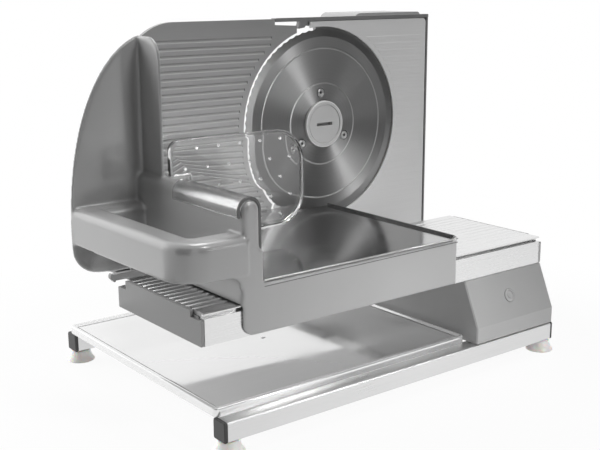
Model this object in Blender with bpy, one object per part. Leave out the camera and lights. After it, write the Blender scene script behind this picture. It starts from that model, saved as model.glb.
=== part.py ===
# Electric food slicer with a 170 mm round blade, a sliding food carriage, a ribbed
# stop plate, an aluminium bench and a steel drip tray, modelled piece by piece.
# Metres, +Z up, X along the carriage travel, Y away from the user. The origin lies on
# the table top, under the middle of the slicer.

import math

import bmesh
import bpy
from mathutils import Matrix, Vector

for old in list(bpy.data.objects):
    bpy.data.objects.remove(old, do_unlink=True)

mm = 0.001

# Fits
seat_gap = 0.3 * mm
run_gap = 0.4 * mm

# Blade
blade_r = 85.0 * mm
blade_t = 1.2 * mm
blade_bevel = 7.0 * mm
blade_bore = 8.0 * mm
wave_count = 72
wave_depth = 0.8 * mm
edge_t = 0.25 * mm
hub_ring_r = 36.5 * mm
screw_circle_r = 28.5 * mm
screw_head_r = 3.6 * mm
lock_cap_r = 21.15 * mm
lock_cap_t = 3.4 * mm
coin_slot_len = 18.0 * mm
coin_slot_w = 3.0 * mm

# Overall stance: the blade axis over the table top, and the slicer's reach to each side
blade_height = 189.6 * mm
left_reach = 232.0 * mm
right_reach = 111.4 * mm
front_reach = 181.7 * mm
rear_reach = 60.9 * mm

# Feet and rails
foot_h = 9.2 * mm
foot_r = 11.6 * mm
foot_inset = 7.9 * mm
rail_w = 14.2 * mm
rail_h = 15.0 * mm
rail_wall = 1.6 * mm
cap_t = 2.8 * mm
corner_r = 1.2 * mm

# Drip tray
tray_w = 244.5 * mm
tray_sheet = 0.8 * mm
tray_skirt = 6.6 * mm
tray_rim = 3.2 * mm
tray_recess = 1.6 * mm
tray_corner_r = 5.0 * mm
tray_overlap = 10.6 * mm

# Bench extrusion
bench_drop = 90.9 * mm
bench_h = 23.4 * mm
bench_front = 164.8 * mm
bench_rear = 57.5 * mm
bench_ledge_w = 9.5 * mm
bench_ledge_drop = 7.3 * mm
bench_left_over = 2.8 * mm
groove_drop = 1.2 * mm
groove_h = 2.9 * mm
groove_depth = 3.5 * mm
bench_wall = 2.6 * mm
bench_rib_pitch = 7.2 * mm
bench_rib_h = 0.45 * mm
bench_rib_margin = 8.0 * mm
bench_cap_t = 2.5 * mm

# Motor housing under the bench's right end
housing_w = 95.0 * mm
housing_wall = 2.6 * mm
housing_slope_run = 15.8 * mm
housing_slope_drop = 36.8 * mm
base_plate_t = 1.5 * mm
button_r = 5.7 * mm
button_travel = 2.0 * mm
button_side = 46.6 * mm
button_down = 20.5 * mm

# Blade frame and cover plate
frame_right = 131.0 * mm
frame_top = 95.2 * mm
frame_t = 4.0 * mm
frame_back = 2.2 * mm
frame_rim_w = 2.0 * mm
frame_rim_proud = 0.3 * mm
frame_disc_r = 72.0 * mm
strip_left = 52.0 * mm
strip_h = 3.2 * mm
arm_left = 219.0 * mm
arm_drop = 102.0 * mm
cover_gap = 1.2 * mm
cover_t = 1.7 * mm
cover_rib_pitch = 6.2 * mm
cover_rib_h = 0.2 * mm
blade_ring_gap = 2.0 * mm
boss_r = 14.0 * mm
boss_len = 13.0 * mm

# Rear housing with the worm gear
tower_top = 97.5 * mm
tower_right = 126.0 * mm
tower_left = 42.0 * mm
tower_depth = 51.5 * mm
tower_wall = 2.5 * mm
gear_case = 38.0 * mm
shaft_r = 6.0 * mm
worm_module = 1.5 * mm
wheel_teeth = 28
wheel_w = 8.0 * mm
worm_r = 7.0 * mm
worm_len = 33.0 * mm
worm_shaft_r = 3.0 * mm
tooth_play = 0.2 * mm
motor_r = 20.5 * mm
motor_len = 52.0 * mm

# Stop plate, its guide and the thickness knob
stop_left = 201.2 * mm
stop_top = 94.6 * mm
stop_bottom = 98.0 * mm
stop_corner_r = 47.8 * mm
stop_t = 4.0 * mm
slot_w = 2.1 * mm
stop_rib_pitch = 6.1 * mm
stop_rib_h = 0.35 * mm
stop_band = 15.7 * mm
stop_right = 50.0 * mm
notch_depth = 6.2 * mm
notch_end = 29.0 * mm
slice_max = 15.0 * mm
guide_x = 145.0 * mm
guide_drop = 80.0 * mm
guide_span = 50.0 * mm
rod_r = 4.0 * mm
block_t = 24.0 * mm
knob_r = 17.0 * mm
knob_t = 11.0 * mm

# Carriage
deck_drop = 75.8 * mm
floor_sheet = 1.0 * mm
deck_t = 2.5 * mm
deck_right = 4.6 * mm
deck_rear = 2.6 * mm
front_plate_t = 2.2 * mm
front_corner_r = 10.0 * mm
wall_x = 203.2 * mm
wall_t = 14.4 * mm
wall_top = 18.5 * mm
wall_foot_x = 207.0 * mm
shield_y = 20.0 * mm
shield_t = 3.0 * mm
shield_reach = 259.5 * mm
shield_top = 86.4 * mm
shield_bottom = 95.2 * mm
fence_x = 197.5 * mm
fence_t = 3.0 * mm
fence_depth = 30.4 * mm
handle_out = 254.6 * mm
handle_w = 22.6 * mm
handle_h = 28.3 * mm
handle_drop = 69.5 * mm
handle_corner_r = 13.0 * mm
handle_rear_w = 14.0 * mm
handle_flare = 4.6 * mm
handle_rise = 1.2 * mm
handle_round = 6.5 * mm

# Leftover holder
holder_t = 2.1 * mm
holder_front = 164.0 * mm
holder_rear = 74.6 * mm
holder_plate_t = 2.4 * mm
holder_right = 82.0 * mm
holder_top = 12.3 * mm
holder_rim_w = 2.6 * mm
holder_rim_t = 5.0 * mm
outer_leg = 12.0 * mm
inner_leg = 39.0 * mm
spike_pitch = 19.5 * mm
spike_row = 16.2 * mm
spike_h = 3.0 * mm
spike_r = 1.3 * mm


# Blade axis over the origin, which is the middle of the slicer's footprint
axis_x = (shield_reach - frame_right) / 2
axis_y = (front_reach - rear_reach) / 2
axis = Vector((axis_x, axis_y, blade_height))


# Outlines

def fillet(corners, seg=5):
    """Closed outline from (u, v, radius) corners, with an arc by formula at each radius."""
    pts = []
    n = len(corners)
    for i in range(n):
        u, v, r = corners[i]
        p = Vector((u, v))
        a = Vector(corners[i - 1][:2]) - p
        b = Vector(corners[(i + 1) % n][:2]) - p
        if r <= 0:
            pts.append((u, v))
            continue
        la, lb = a.length, b.length
        a.normalize()
        b.normalize()
        half = math.acos(max(-1.0, min(1.0, a.dot(b)))) / 2
        cut = min(r / math.tan(half), 0.49 * la, 0.49 * lb)
        rr = cut * math.tan(half)
        centre = p + (a + b).normalized() * (rr / math.sin(half))
        start = p + a * cut - centre
        end = p + b * cut - centre
        turn = math.atan2(start.x * end.y - start.y * end.x, start.dot(end))
        for k in range(seg + 1):
            ang = turn * k / seg
            c, s = math.cos(ang), math.sin(ang)
            pts.append((centre.x + start.x * c - start.y * s, centre.y + start.x * s + start.y * c))
    return pts


def arc(cu, cv, r, start, end, n):
    """Points on an arc, with both ends, angles in degrees."""
    out = []
    for k in range(n + 1):
        t = math.radians(start + (end - start) * k / n)
        out.append((cu + r * math.cos(t), cv + r * math.sin(t)))
    return out


def bezier(p0, p1, p2, p3, n):
    """Points on a cubic curve, with both ends."""
    out = []
    for k in range(n + 1):
        t = k / n
        s = 1 - t
        w = (s * s * s, 3 * s * s * t, 3 * s * t * t, t * t * t)
        out.append(tuple(sum(c * p[i] for c, p in zip(w, (p0, p1, p2, p3))) for i in (0, 1)))
    return out


# Solids

def finish(bm, name, rough, colour, metal=0.0, smooth=40, at=(0, 0, 0), alpha=1.0):
    """Turn a bmesh in blade-axis coordinates into a named object with its own material."""
    bmesh.ops.remove_doubles(bm, verts=bm.verts, dist=1e-6)
    bmesh.ops.recalc_face_normals(bm, faces=bm.faces)
    mesh = bpy.data.meshes.new(name)
    bmesh.ops.translate(bm, verts=bm.verts, vec=-Vector(at))
    bm.to_mesh(mesh)
    bm.free()
    obj = bpy.data.objects.new(name, mesh)
    obj.location = axis + Vector(at)
    bpy.context.scene.collection.objects.link(obj)
    if smooth:
        mesh.shade_smooth()
        mesh.set_sharp_from_angle(angle=math.radians(smooth))
    mat = bpy.data.materials.new(name + "_material")
    mat.use_nodes = True
    shader = mat.node_tree.nodes["Principled BSDF"]
    shader.inputs["Base Color"].default_value = (colour, colour, colour, 1.0)
    shader.inputs["Roughness"].default_value = rough
    shader.inputs["Metallic"].default_value = metal
    shader.inputs["Alpha"].default_value = alpha
    mesh.materials.append(mat)
    return obj


def loft(loops, closed=False):
    """Skin a list of closed loops with equal point counts, capped unless it closes on itself."""
    bm = bmesh.new()
    rows = [[bm.verts.new(p) for p in loop] for loop in loops]
    n = len(rows[0])
    pairs = list(zip(rows, rows[1:]))
    if closed:
        pairs.append((rows[-1], rows[0]))
    for a, b in pairs:
        for i in range(n):
            bm.faces.new((a[i], a[(i + 1) % n], b[(i + 1) % n], b[i]))
    if not closed:
        bm.faces.new(list(reversed(rows[0])))
        bm.faces.new(rows[-1])
    return bm


def lift(pts, plane, w):
    """Put a flat outline into space: the plane names its two axes, w is the third."""
    if plane == "XZ":
        return [(u, w, v) for u, v in pts]
    if plane == "YZ":
        return [(w, u, v) for u, v in pts]
    return [(u, v, w) for u, v in pts]


def prism(pts, plane, lo, hi):
    return loft([lift(pts, plane, lo), lift(pts, plane, hi)])


def block(x0, x1, y0, y1, z0, z1, r=0.0, plane="XY"):
    """Box with rounded corners seen along the plane's normal."""
    spans = {"XY": (x0, x1, y0, y1, z0, z1), "XZ": (x0, x1, z0, z1, y0, y1), "YZ": (y0, y1, z0, z1, x0, x1)}
    u0, u1, v0, v1, lo, hi = spans[plane]
    return prism(fillet([(u0, v0, r), (u1, v0, r), (u1, v1, r), (u0, v1, r)], 3), plane, lo, hi)


def revolve(profile, steps, centre=(0, 0, 0), along="Y"):
    """Turn a profile of (radius, height) points about an axis through centre."""
    bm = bmesh.new()
    rows = []
    for r, h in profile:
        if r < 1e-9:
            rows.append([bm.verts.new((0, 0, h))])
        else:
            rows.append([bm.verts.new((r * math.cos(2 * math.pi * k / steps),
                                       r * math.sin(2 * math.pi * k / steps), h)) for k in range(steps)])
    open_ends = len(rows[0]) > 1 and len(rows[-1]) > 1
    pairs = list(zip(rows, rows[1:]))
    if open_ends:
        pairs.append((rows[-1], rows[0]))
    for a, b in pairs:
        for k in range(steps):
            j = (k + 1) % steps
            if len(a) == 1:
                bm.faces.new((a[0], b[j], b[k]))
            elif len(b) == 1:
                bm.faces.new((a[k], a[j], b[0]))
            else:
                bm.faces.new((a[k], a[j], b[j], b[k]))
    turn = {"Y": Matrix.Rotation(math.radians(-90), 4, "X"), "X": Matrix.Rotation(math.radians(90), 4, "Y"),
            "Z": Matrix.Identity(4)}[along]
    bmesh.ops.transform(bm, matrix=Matrix.Translation(centre) @ turn, verts=bm.verts)
    return bm


def tool(bm, name):
    """A cutter or a piece to fuse: kept out of the render and drawn as wire."""
    obj = finish(bm, name, 0.5, 0.5, smooth=0)
    obj.hide_render = True
    obj.display_type = "WIRE"
    return obj


def combine(target, bm, operation, solver="EXACT"):
    """Apply one Boolean to target with a throw-away tool."""
    other = tool(bm, target.name + "_tool")
    other.location = axis
    mod = target.modifiers.new(operation.lower(), "BOOLEAN")
    mod.operation = operation
    mod.solver = solver
    mod.object = other
    bpy.context.view_layer.update()
    graph = bpy.context.evaluated_depsgraph_get()
    done = bpy.data.meshes.new_from_object(target.evaluated_get(graph), depsgraph=graph)
    target.modifiers.remove(mod)
    before = target.data
    target.data = done
    done.name = target.name
    bpy.data.meshes.remove(before)
    used = other.data
    bpy.data.objects.remove(other, do_unlink=True)
    bpy.data.meshes.remove(used)
    work = bmesh.new()
    work.from_mesh(done)
    bmesh.ops.remove_doubles(work, verts=work.verts, dist=2e-6)
    bmesh.ops.dissolve_degenerate(work, edges=work.edges, dist=1e-6)
    work.to_mesh(done)
    work.free()
    return target


def merged(*parts):
    """One bmesh holding several separate shells, for one Boolean."""
    out = bmesh.new()
    for part in parts:
        mesh = bpy.data.meshes.new("shell")
        bmesh.ops.recalc_face_normals(part, faces=part.faces)
        part.to_mesh(mesh)
        part.free()
        out.from_mesh(mesh)
        bpy.data.meshes.remove(mesh)
    return out


def round_pin(r, y0, y1, x, z, steps=24, along="Y"):
    return revolve([(0, 0), (r, 0), (r, y1 - y0), (0, y1 - y0)], steps,
                   (x, y0, z) if along == "Y" else (x, z, y0), along)


# Heights and planes that several pieces share
table = -blade_height
rail_bottom = table + foot_h + seat_gap
rail_top = rail_bottom + rail_h
front_y = -front_reach
rear_y = rear_reach
rail_left = -left_reach + cap_t
rail_right = right_reach - cap_t
bench_top = -bench_drop
bench_bottom = bench_top - bench_h
bench_left = -left_reach - bench_left_over
bench_right = right_reach - bench_cap_t - seat_gap
housing_left = right_reach - housing_w
housing_right = right_reach
housing_top = bench_bottom - seat_gap
housing_bottom = rail_top + seat_gap
frame_bottom = housing_top + seat_gap
frame_rear = frame_back + frame_t
deck_top = -deck_drop - floor_sheet - seat_gap
plate_outer = -bench_front - seat_gap - front_plate_t
plate_inner = plate_outer + front_plate_t
plate_bottom = bench_bottom - 0.1 * mm
wheel_r = worm_module * wheel_teeth / 2
worm_x = wheel_r + worm_r
wheel_front = frame_rear + boss_len + 4.5 * mm
worm_y = wheel_front + wheel_w / 2
tower_front = frame_rear + seat_gap
tower_rear = tower_front + tower_depth


# Base: feet, rails and end caps

def make_foot(name, x, y):
    profile = [(0, 2.0 * mm), (foot_r - 2.6 * mm, 0.5 * mm), (foot_r - 2.0 * mm, 0), (foot_r, 0),
               (foot_r, 0.8 * mm), (foot_r - 3.0 * mm, foot_h * 0.42), (foot_r - 5.0 * mm, foot_h * 0.7),
               (foot_r - 5.2 * mm, foot_h), (0, foot_h)]
    bm = revolve(profile, 20, (x, y, table), "Z")
    return finish(bm, name, 0.35, 0.75, smooth=35, at=(x, y, table))


def make_rail(name, y0):
    outer = fillet([(y0, rail_bottom, corner_r), (y0 + rail_w, rail_bottom, corner_r),
                    (y0 + rail_w, rail_top, corner_r), (y0, rail_top, corner_r)], 3)
    w = rail_wall
    inner = fillet([(y0 + w, rail_bottom + w, 0.4 * mm), (y0 + rail_w - w, rail_bottom + w, 0.4 * mm),
                    (y0 + rail_w - w, rail_top - w, 0.4 * mm), (y0 + w, rail_top - w, 0.4 * mm)], 3)
    loops = [lift(outer, "YZ", rail_left), lift(outer, "YZ", rail_right),
             lift(inner, "YZ", rail_right), lift(inner, "YZ", rail_left)]
    return finish(loft(loops, closed=True), name, 0.28, 0.62, 0.9)


def make_rail_cap(name, y0, side):
    w = rail_wall + seat_gap
    face = rail_left - seat_gap if side < 0 else rail_right + seat_gap
    end = -left_reach if side < 0 else right_reach

    def ring(inset, r):
        return fillet([(y0 + inset, rail_bottom + inset, r), (y0 + rail_w - inset, rail_bottom + inset, r),
                       (y0 + rail_w - inset, rail_top - inset, r), (y0 + inset, rail_top - inset, r)], 3)

    soft = 0.6 * mm
    loops = [lift(ring(soft, corner_r), "YZ", end), lift(ring(0, corner_r), "YZ", end - side * soft),
             lift(ring(0, corner_r), "YZ", face), lift(ring(w, 0.4 * mm), "YZ", face),
             lift(ring(w, 0.4 * mm), "YZ", face - side * 9 * mm)]
    return finish(loft(loops), name, 0.5, 0.03)


foot_left_x = -left_reach + foot_inset
foot_right_x = right_reach - foot_inset
rail_rows = (("front", front_y), ("rear", rear_y - rail_w))
for row, y0 in rail_rows:
    make_rail(row + "_rail", y0)
    make_rail_cap(row + "_rail_cap_left", y0, -1)
    make_rail_cap(row + "_rail_cap_right", y0, 1)
    make_foot("suction_foot_" + row + "_left", foot_left_x, y0 + rail_w / 2)
    make_foot("suction_foot_" + row + "_right", foot_right_x, y0 + rail_w / 2)


# Drip tray, a pressed steel pan with a rolled rim that stands on both rails

def make_tray():
    x0 = -left_reach
    x1 = x0 + tray_w
    y0 = front_y + tray_overlap
    y1 = rear_y - 3.9 * mm
    z0 = rail_top + seat_gap
    z1 = z0 + tray_skirt

    def ring(inset, z):
        r = max(tray_corner_r - inset, 1.0 * mm)
        pts = fillet([(x0 + inset, y0 + inset, r), (x1 - inset, y0 + inset, r),
                      (x1 - inset, y1 - inset, r), (x0 + inset, y1 - inset, r)], 5)
        return lift(pts, "XY", z)

    roll = 1.2 * mm
    s = tray_sheet
    loops = [ring(tray_rim + 1.4 * mm, z1 - tray_recess), ring(tray_rim + 0.7 * mm, z1 - tray_recess + 0.2 * mm),
             ring(tray_rim, z1 - 0.2 * mm), ring(tray_rim - 0.4 * mm, z1), ring(roll, z1),
             ring(roll * 0.3, z1 - roll * 0.3), ring(0, z1 - roll), ring(0, z0), ring(s, z0),
             ring(s, z1 - roll), ring(roll * 0.3 + s, z1 - s - roll * 0.3), ring(roll + s, z1 - s),
             ring(tray_rim - 0.4 * mm - s * 0.3, z1 - s), ring(tray_rim, z1 - s - 0.2 * mm),
             ring(tray_rim + 0.7 * mm, z1 - tray_recess - s + 0.2 * mm),
             ring(tray_rim + 1.4 * mm, z1 - tray_recess - s)]
    return finish(loft(loops), "drip_tray", 0.22, 0.72, 1.0, smooth=50)


make_tray()
tray_floor = rail_top + seat_gap + tray_skirt - tray_recess


# Bench: a ribbed aluminium extrusion with a guide groove along its front

def bench_outline():
    front = -bench_front
    rear = -bench_rear
    pts = [(front, bench_bottom), (rear + bench_ledge_w, bench_bottom),
           (rear + bench_ledge_w, bench_top - bench_ledge_drop), (rear, bench_top - bench_ledge_drop),
           (rear, bench_top)]
    span = bench_front - bench_rear - 2 * bench_rib_margin
    count = max(1, int(span / bench_rib_pitch))
    pitch = span / count
    y = rear - bench_rib_margin
    pts.append((y, bench_top))
    for k in range(count):
        for f, d in ((0.12, 1.0), (0.38, 0.75), (0.62, 0.25), (0.88, 0.0)):
            pts.append((y - pitch * (k + f), bench_top - bench_rib_h * d))
        pts.append((y - pitch * (k + 1), bench_top))
    lip = bench_top - groove_drop
    pts += [(front + 0.8 * mm, bench_top), (front, bench_top - 0.5 * mm), (front, lip),
            (front + groove_depth, lip), (front + groove_depth, lip - groove_h), (front, lip - groove_h)]
    return pts


bench = finish(prism(bench_outline(), "YZ", bench_left, bench_right), "bench_extrusion", 0.3, 0.66, 0.9, smooth=25)
web = 3.0 * mm
chamber_front = -bench_front + groove_depth + bench_wall
chamber_mid = (-bench_front - bench_rear) / 2
chamber_z0 = bench_bottom + bench_wall
chamber_z1 = bench_top - bench_rib_h - bench_wall
chamber_rear = -bench_rear - bench_wall
over = 5 * mm
combine(bench, merged(
    block(bench_left - over, bench_right + over, chamber_front, chamber_mid - web / 2,
          chamber_z0, chamber_z1, 1.5 * mm, "YZ"),
    block(bench_left - over, bench_right + over, chamber_mid + web / 2, chamber_rear,
          chamber_z0, chamber_z1, 1.5 * mm, "YZ")), "DIFFERENCE")


def make_bench_cap(name, side):
    front = -bench_front
    rear = -bench_rear
    low = bench_top - groove_drop - groove_h - 1.0 * mm
    step = front + 13.6 * mm
    top = bench_top - bench_rib_h
    pts = fillet([(front, bench_bottom, 0.6 * mm), (rear + bench_ledge_w, bench_bottom, 0.6 * mm),
                  (rear + bench_ledge_w, bench_top - bench_ledge_drop, 0.6 * mm),
                  (rear - 2.2 * mm, bench_top - bench_ledge_drop, 0), (rear - 2.2 * mm, top, 0.6 * mm),
                  (step, top, 0.6 * mm), (step, low, 0), (front, low, 0.6 * mm)], 2)
    if side < 0:
        x0, x1 = bench_left - seat_gap - bench_cap_t, bench_left - seat_gap
    else:
        x0, x1 = bench_right + seat_gap, bench_right + seat_gap + bench_cap_t
    cap = finish(prism(pts, "YZ", x0, x1), name, 0.45, 0.38)
    reach = x1 if side < 0 else x0
    fit = seat_gap
    a = reach - 0.4 * mm if side < 0 else reach - 8 * mm
    b = reach + 8 * mm if side < 0 else reach + 0.4 * mm
    combine(cap, merged(
        block(a, b, chamber_front + fit, chamber_mid - web / 2 - fit, chamber_z0 + fit, chamber_z1 - fit,
              1.2 * mm, "YZ"),
        block(a, b, chamber_mid + web / 2 + fit, chamber_rear - fit, chamber_z0 + fit, chamber_z1 - fit,
              1.2 * mm, "YZ")), "UNION")
    return cap


make_bench_cap("bench_cap_left", -1)
make_bench_cap("bench_cap_right", 1)


# Motor housing: a moulded shell, open below, with a sloped switch face

slope_top = Vector((0, -bench_front - seat_gap, housing_top))
slope_foot = Vector((0, slope_top.y - housing_slope_run, housing_top - housing_slope_drop))
slope_dir = (slope_foot - slope_top).normalized()
slope_out = Vector((0, slope_dir.z, -slope_dir.y))
housing_back = rear_y - 0.9 * mm


def housing_profile(inset, bottom):
    """Side outline of the housing, moved inwards by inset."""
    shift = slope_out * -inset
    top = slope_top + shift
    t = (housing_top - inset - top.z) / slope_dir.z
    head = top + slope_dir * t
    foot = slope_foot + shift
    t2 = (slope_foot.y + inset - foot.y) / slope_dir.y
    knee = foot + slope_dir * t2
    soft = 1.5 * mm if inset == 0 else 0.8 * mm
    return fillet([(slope_foot.y + inset, bottom, 0.0), (housing_back - inset, bottom, 0.0),
                   (housing_back - inset, housing_top - inset, soft), (head.y, housing_top - inset, soft),
                   (knee.y, knee.z, soft)], 4)


bevel = 1.0 * mm
outer = housing_profile(0, housing_bottom)
inner_soft = housing_profile(bevel, housing_bottom)
hollow = housing_profile(housing_wall, housing_bottom - over)
housing = finish(loft([lift(inner_soft, "YZ", housing_left), lift(outer, "YZ", housing_left + bevel),
                       lift(outer, "YZ", housing_right - bevel), lift(inner_soft, "YZ", housing_right)]),
                 "motor_housing", 0.42, 0.3)
combine(housing, prism(hollow, "YZ", housing_left + housing_wall, housing_right - housing_wall), "DIFFERENCE")

# Switch button, square to the sloped face
button_at = Vector((housing_left + button_side, slope_top.y, slope_top.z)) + slope_dir * button_down
tilt = slope_out.to_track_quat("Z", "Y").to_matrix().to_4x4()


def on_slope(bm, depth=0.0):
    """Put a piece modelled along +Z onto the sloped face, at a depth under it."""
    bmesh.ops.transform(bm, matrix=Matrix.Translation(button_at - slope_out * depth) @ tilt, verts=bm.verts)
    return bm


hole_r = button_r + seat_gap
combine(housing, on_slope(revolve([(0, -over), (hole_r, -over), (hole_r, over), (0, over)], 32, along="Z")),
        "DIFFERENCE")
stem_r = 3.0 * mm
button_profile = [(0, -9 * mm), (stem_r, -9 * mm), (stem_r, -housing_wall - 0.2 * mm),
                  (button_r, -housing_wall - 0.2 * mm), (button_r, 0.1 * mm), (button_r - 0.5 * mm, 0.5 * mm),
                  (button_r - 1.3 * mm, 0.5 * mm), (button_r - 1.8 * mm, 0.1 * mm), (2.6 * mm, 0.1 * mm),
                  (2.0 * mm, 0.5 * mm), (0, 0.6 * mm)]
finish(on_slope(revolve(button_profile, 20, along="Z")), "switch_button", 0.4, 0.32, at=button_at)
switch_top = -housing_wall - seat_gap
switch_len = 14 * mm
pocket = button_travel + 1.0 * mm
switch = finish(on_slope(block(-10 * mm, 10 * mm, -9 * mm, 9 * mm, switch_top - switch_len, switch_top, 1 * mm)),
                "switch_body", 0.5, 0.05)
combine(switch, on_slope(revolve([(0, switch_top - 9.5 * mm), (stem_r + seat_gap, switch_top - 9.5 * mm),
                                  (stem_r + seat_gap, switch_top - pocket), (hole_r, switch_top - pocket),
                                  (hole_r, switch_top + over), (0, switch_top + over)], 20, along="Z")),
        "DIFFERENCE")

# Base plate that closes the housing from below and stands on both rails
plate_in = housing_wall + seat_gap
finish(block(housing_left + plate_in, housing_right - plate_in, slope_foot.y + plate_in, housing_back - plate_in,
             housing_bottom, housing_bottom + base_plate_t, 1.5 * mm), "housing_base_plate", 0.4, 0.45, 0.8)

# Cable gland in the housing's back wall
gland_x = housing_right - 18 * mm
gland_z = housing_bottom + 14 * mm
gland_r = 5 * mm
combine(housing, round_pin(gland_r + seat_gap, housing_back - 2 * housing_wall, housing_back + over, gland_x,
                           gland_z), "DIFFERENCE")
finish(revolve([(2.5 * mm, 0), (gland_r + 2 * mm, 0), (gland_r + 2 * mm, 1.6 * mm), (gland_r, 1.6 * mm),
                (gland_r, 1.6 * mm + housing_wall + 0.6 * mm),
                (gland_r - 0.6 * mm, 6.0 * mm), (2.5 * mm, 6.0 * mm)], 24,
               (gland_x, housing_back - housing_wall - seat_gap - 1.6 * mm, gland_z)), "cable_gland", 0.5, 0.04)


# Blade frame: back plate, arm to the left, top strip, right rim and bearing boss

def frame_outline():
    disc = arc(0, 0, frame_disc_r, 265, 95, 26)
    low = -arm_drop
    top = frame_top
    neck = -6 * mm
    pts = [(frame_right, frame_bottom)]
    pts += fillet([(frame_right, frame_bottom, 0), (frame_right, top, 1.5 * mm), (-17 * mm, top, 0)], 3)[1:]
    pts += [(-17 * mm, blade_r + 3.2 * mm), (neck, blade_r + 1.8 * mm)]
    pts += list(reversed(disc))
    pts += [(-10 * mm, low)]
    end = fillet([(-arm_left + 2 * mm, low, 3 * mm), (-arm_left, low - 5 * mm, 3 * mm),
                  (-arm_left + 7 * mm, frame_bottom, 3 * mm)], 3)
    pts += end
    return pts


frame = finish(prism(frame_outline(), "XZ", frame_back, frame_rear), "blade_frame", 0.4, 0.33, 0.5)
rim_front = -frame_rim_proud
combine(frame, merged(block(-strip_left, frame_right, rim_front, frame_rear, frame_top - strip_h, frame_top,
                            0.8 * mm, "XZ")), "UNION")
combine(frame, merged(block(frame_right - frame_rim_w, frame_right, rim_front, frame_rear - 0.5 * mm,
                            frame_bottom, frame_top - 1 * mm, 0.6 * mm, "XY")), "UNION")
bracket = fillet([(-25.5 * mm, frame_top - 1 * mm, 0), (-25.0 * mm, frame_top - strip_h - 1.5 * mm, 1.5 * mm),
                  (-27.5 * mm, blade_r + 0.6 * mm, 0.6 * mm), (-20.5 * mm, blade_r + 1.6 * mm, 0.6 * mm),
                  (-17.0 * mm, frame_top - strip_h - 1.5 * mm, 1.5 * mm), (-15.0 * mm, frame_top - 1 * mm, 0)], 3)
combine(frame, prism(bracket, "XZ", rim_front, frame_rear - 1 * mm), "UNION")
combine(frame, round_pin(boss_r, frame_rear - 1 * mm, frame_rear + boss_len, 0, 0, 32), "UNION")
hub_r = 33.0 * mm
hub_t = 2.2 * mm
hub_front = blade_t + 0.3 * mm
recess_rear = hub_front + hub_t + run_gap
bush_r = 11.0 * mm
combine(frame, merged(round_pin(hub_r + 1.2 * mm, frame_back - over, recess_rear, 0, 0, 48)), "DIFFERENCE")
combine(frame, merged(round_pin(bush_r + seat_gap, frame_back, frame_rear + boss_len + over, 0, 0, 32)),
        "DIFFERENCE")

# Bearing bush, pressed into the boss
finish(revolve([(shaft_r + seat_gap, 0), (bush_r, 0), (bush_r, boss_len), (shaft_r + seat_gap, boss_len)], 32,
               (0, recess_rear + 0.8 * mm, 0)), "bearing_bush", 0.35, 0.45, 1.0)

# Cover plate beside the blade, ribbed, with a round cut-out
cover_right = frame_right - frame_rim_w - cover_gap
cover_top = frame_top - strip_h - cover_gap * 0.4
cover_bottom = frame_bottom + 2 * mm
cover_left = -14 * mm
cut_r = blade_r + blade_ring_gap


def cover_outline():
    pts = fillet([(cover_left, cover_top, 0), (9 * mm, cover_bottom, 0), (cover_right, cover_bottom, 1 * mm),
                  (cover_right, cover_top, 4 * mm)], 4)
    start = math.degrees(math.acos(cover_left / cut_r))
    end = -math.degrees(math.acos(9 * mm / cut_r))
    return [pts[0]] + arc(0, 0, cut_r, start, end, 40) + pts[1:]


cover_front = 0.0
cover = finish(prism(cover_outline(), "XZ", cover_front, cover_front + cover_t), "cover_plate", 0.38, 0.42, 0.7)


def rib_slab(x0, x1, z0, z1, pitch, height, face, bury):
    """Corrugated slab whose ribs run along X and stand out towards the user."""
    count = max(1, int((z1 - z0) / pitch))
    pts = [(face + bury, z1), (face + bury, z0)]
    step = (z1 - z0) / count
    for k in range(count):
        z = z0 + step * k
        pts.append((face + bury * 0.1, z + 0.14 * step))
        pts.append((face - height, z + 0.26 * step))
        pts.append((face - height, z + 0.74 * step))
        pts.append((face + bury * 0.1, z + 0.86 * step))
    return prism(pts, "YZ", x0, x1)


def make_ribs(name, outline, x0, x1, z0, z1, pitch, height, face):
    """Ribs cut to an outline, as a loose piece that is then fused to its plate."""
    slab = finish(rib_slab(x0, x1, z0, z1, pitch, height, face, 0.5 * mm), name, 0.5, 0.5, smooth=0)
    combine(slab, prism(outline, "XZ", face - 5 * mm, face + 5 * mm), "INTERSECT")
    bm = bmesh.new()
    bm.from_mesh(slab.data)
    data = slab.data
    bpy.data.objects.remove(slab, do_unlink=True)
    bpy.data.meshes.remove(data)
    return bm


rib_ring_r = cut_r + 5 * mm
rib_z1 = cover_top - 14 * mm
rib_z0 = -70 * mm
rib_zone = arc(0, 0, rib_ring_r, math.degrees(math.asin(rib_z1 / rib_ring_r)),
               math.degrees(math.asin(rib_z0 / rib_ring_r)), 18)
rib_zone += [(cover_right - 4 * mm, rib_z0), (cover_right - 4 * mm, rib_z1)]
combine(cover, make_ribs("cover_ribs", rib_zone, 0, cover_right, rib_z0, rib_z1, cover_rib_pitch, cover_rib_h,
                         cover_front), "UNION")


# Rear housing over the worm gear, open towards the frame

def tower_outline(inset):
    left = tower_left + inset
    low = 2 * mm + inset
    case = gear_case - inset
    return fillet([(left, tower_top - inset, 8 * mm), (left, case + 2 * mm, 6 * mm),
                   (-case, case + 2 * mm, 27 * mm), (-case, -case - 2 * mm, 27 * mm),
                   (low, -case - 2 * mm, 6 * mm), (low, frame_bottom + inset, 1.5 * mm),
                   (tower_right - inset, frame_bottom + inset, 1.5 * mm),
                   (tower_right - inset, tower_top - inset, 3.5 * mm)], 6)


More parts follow.
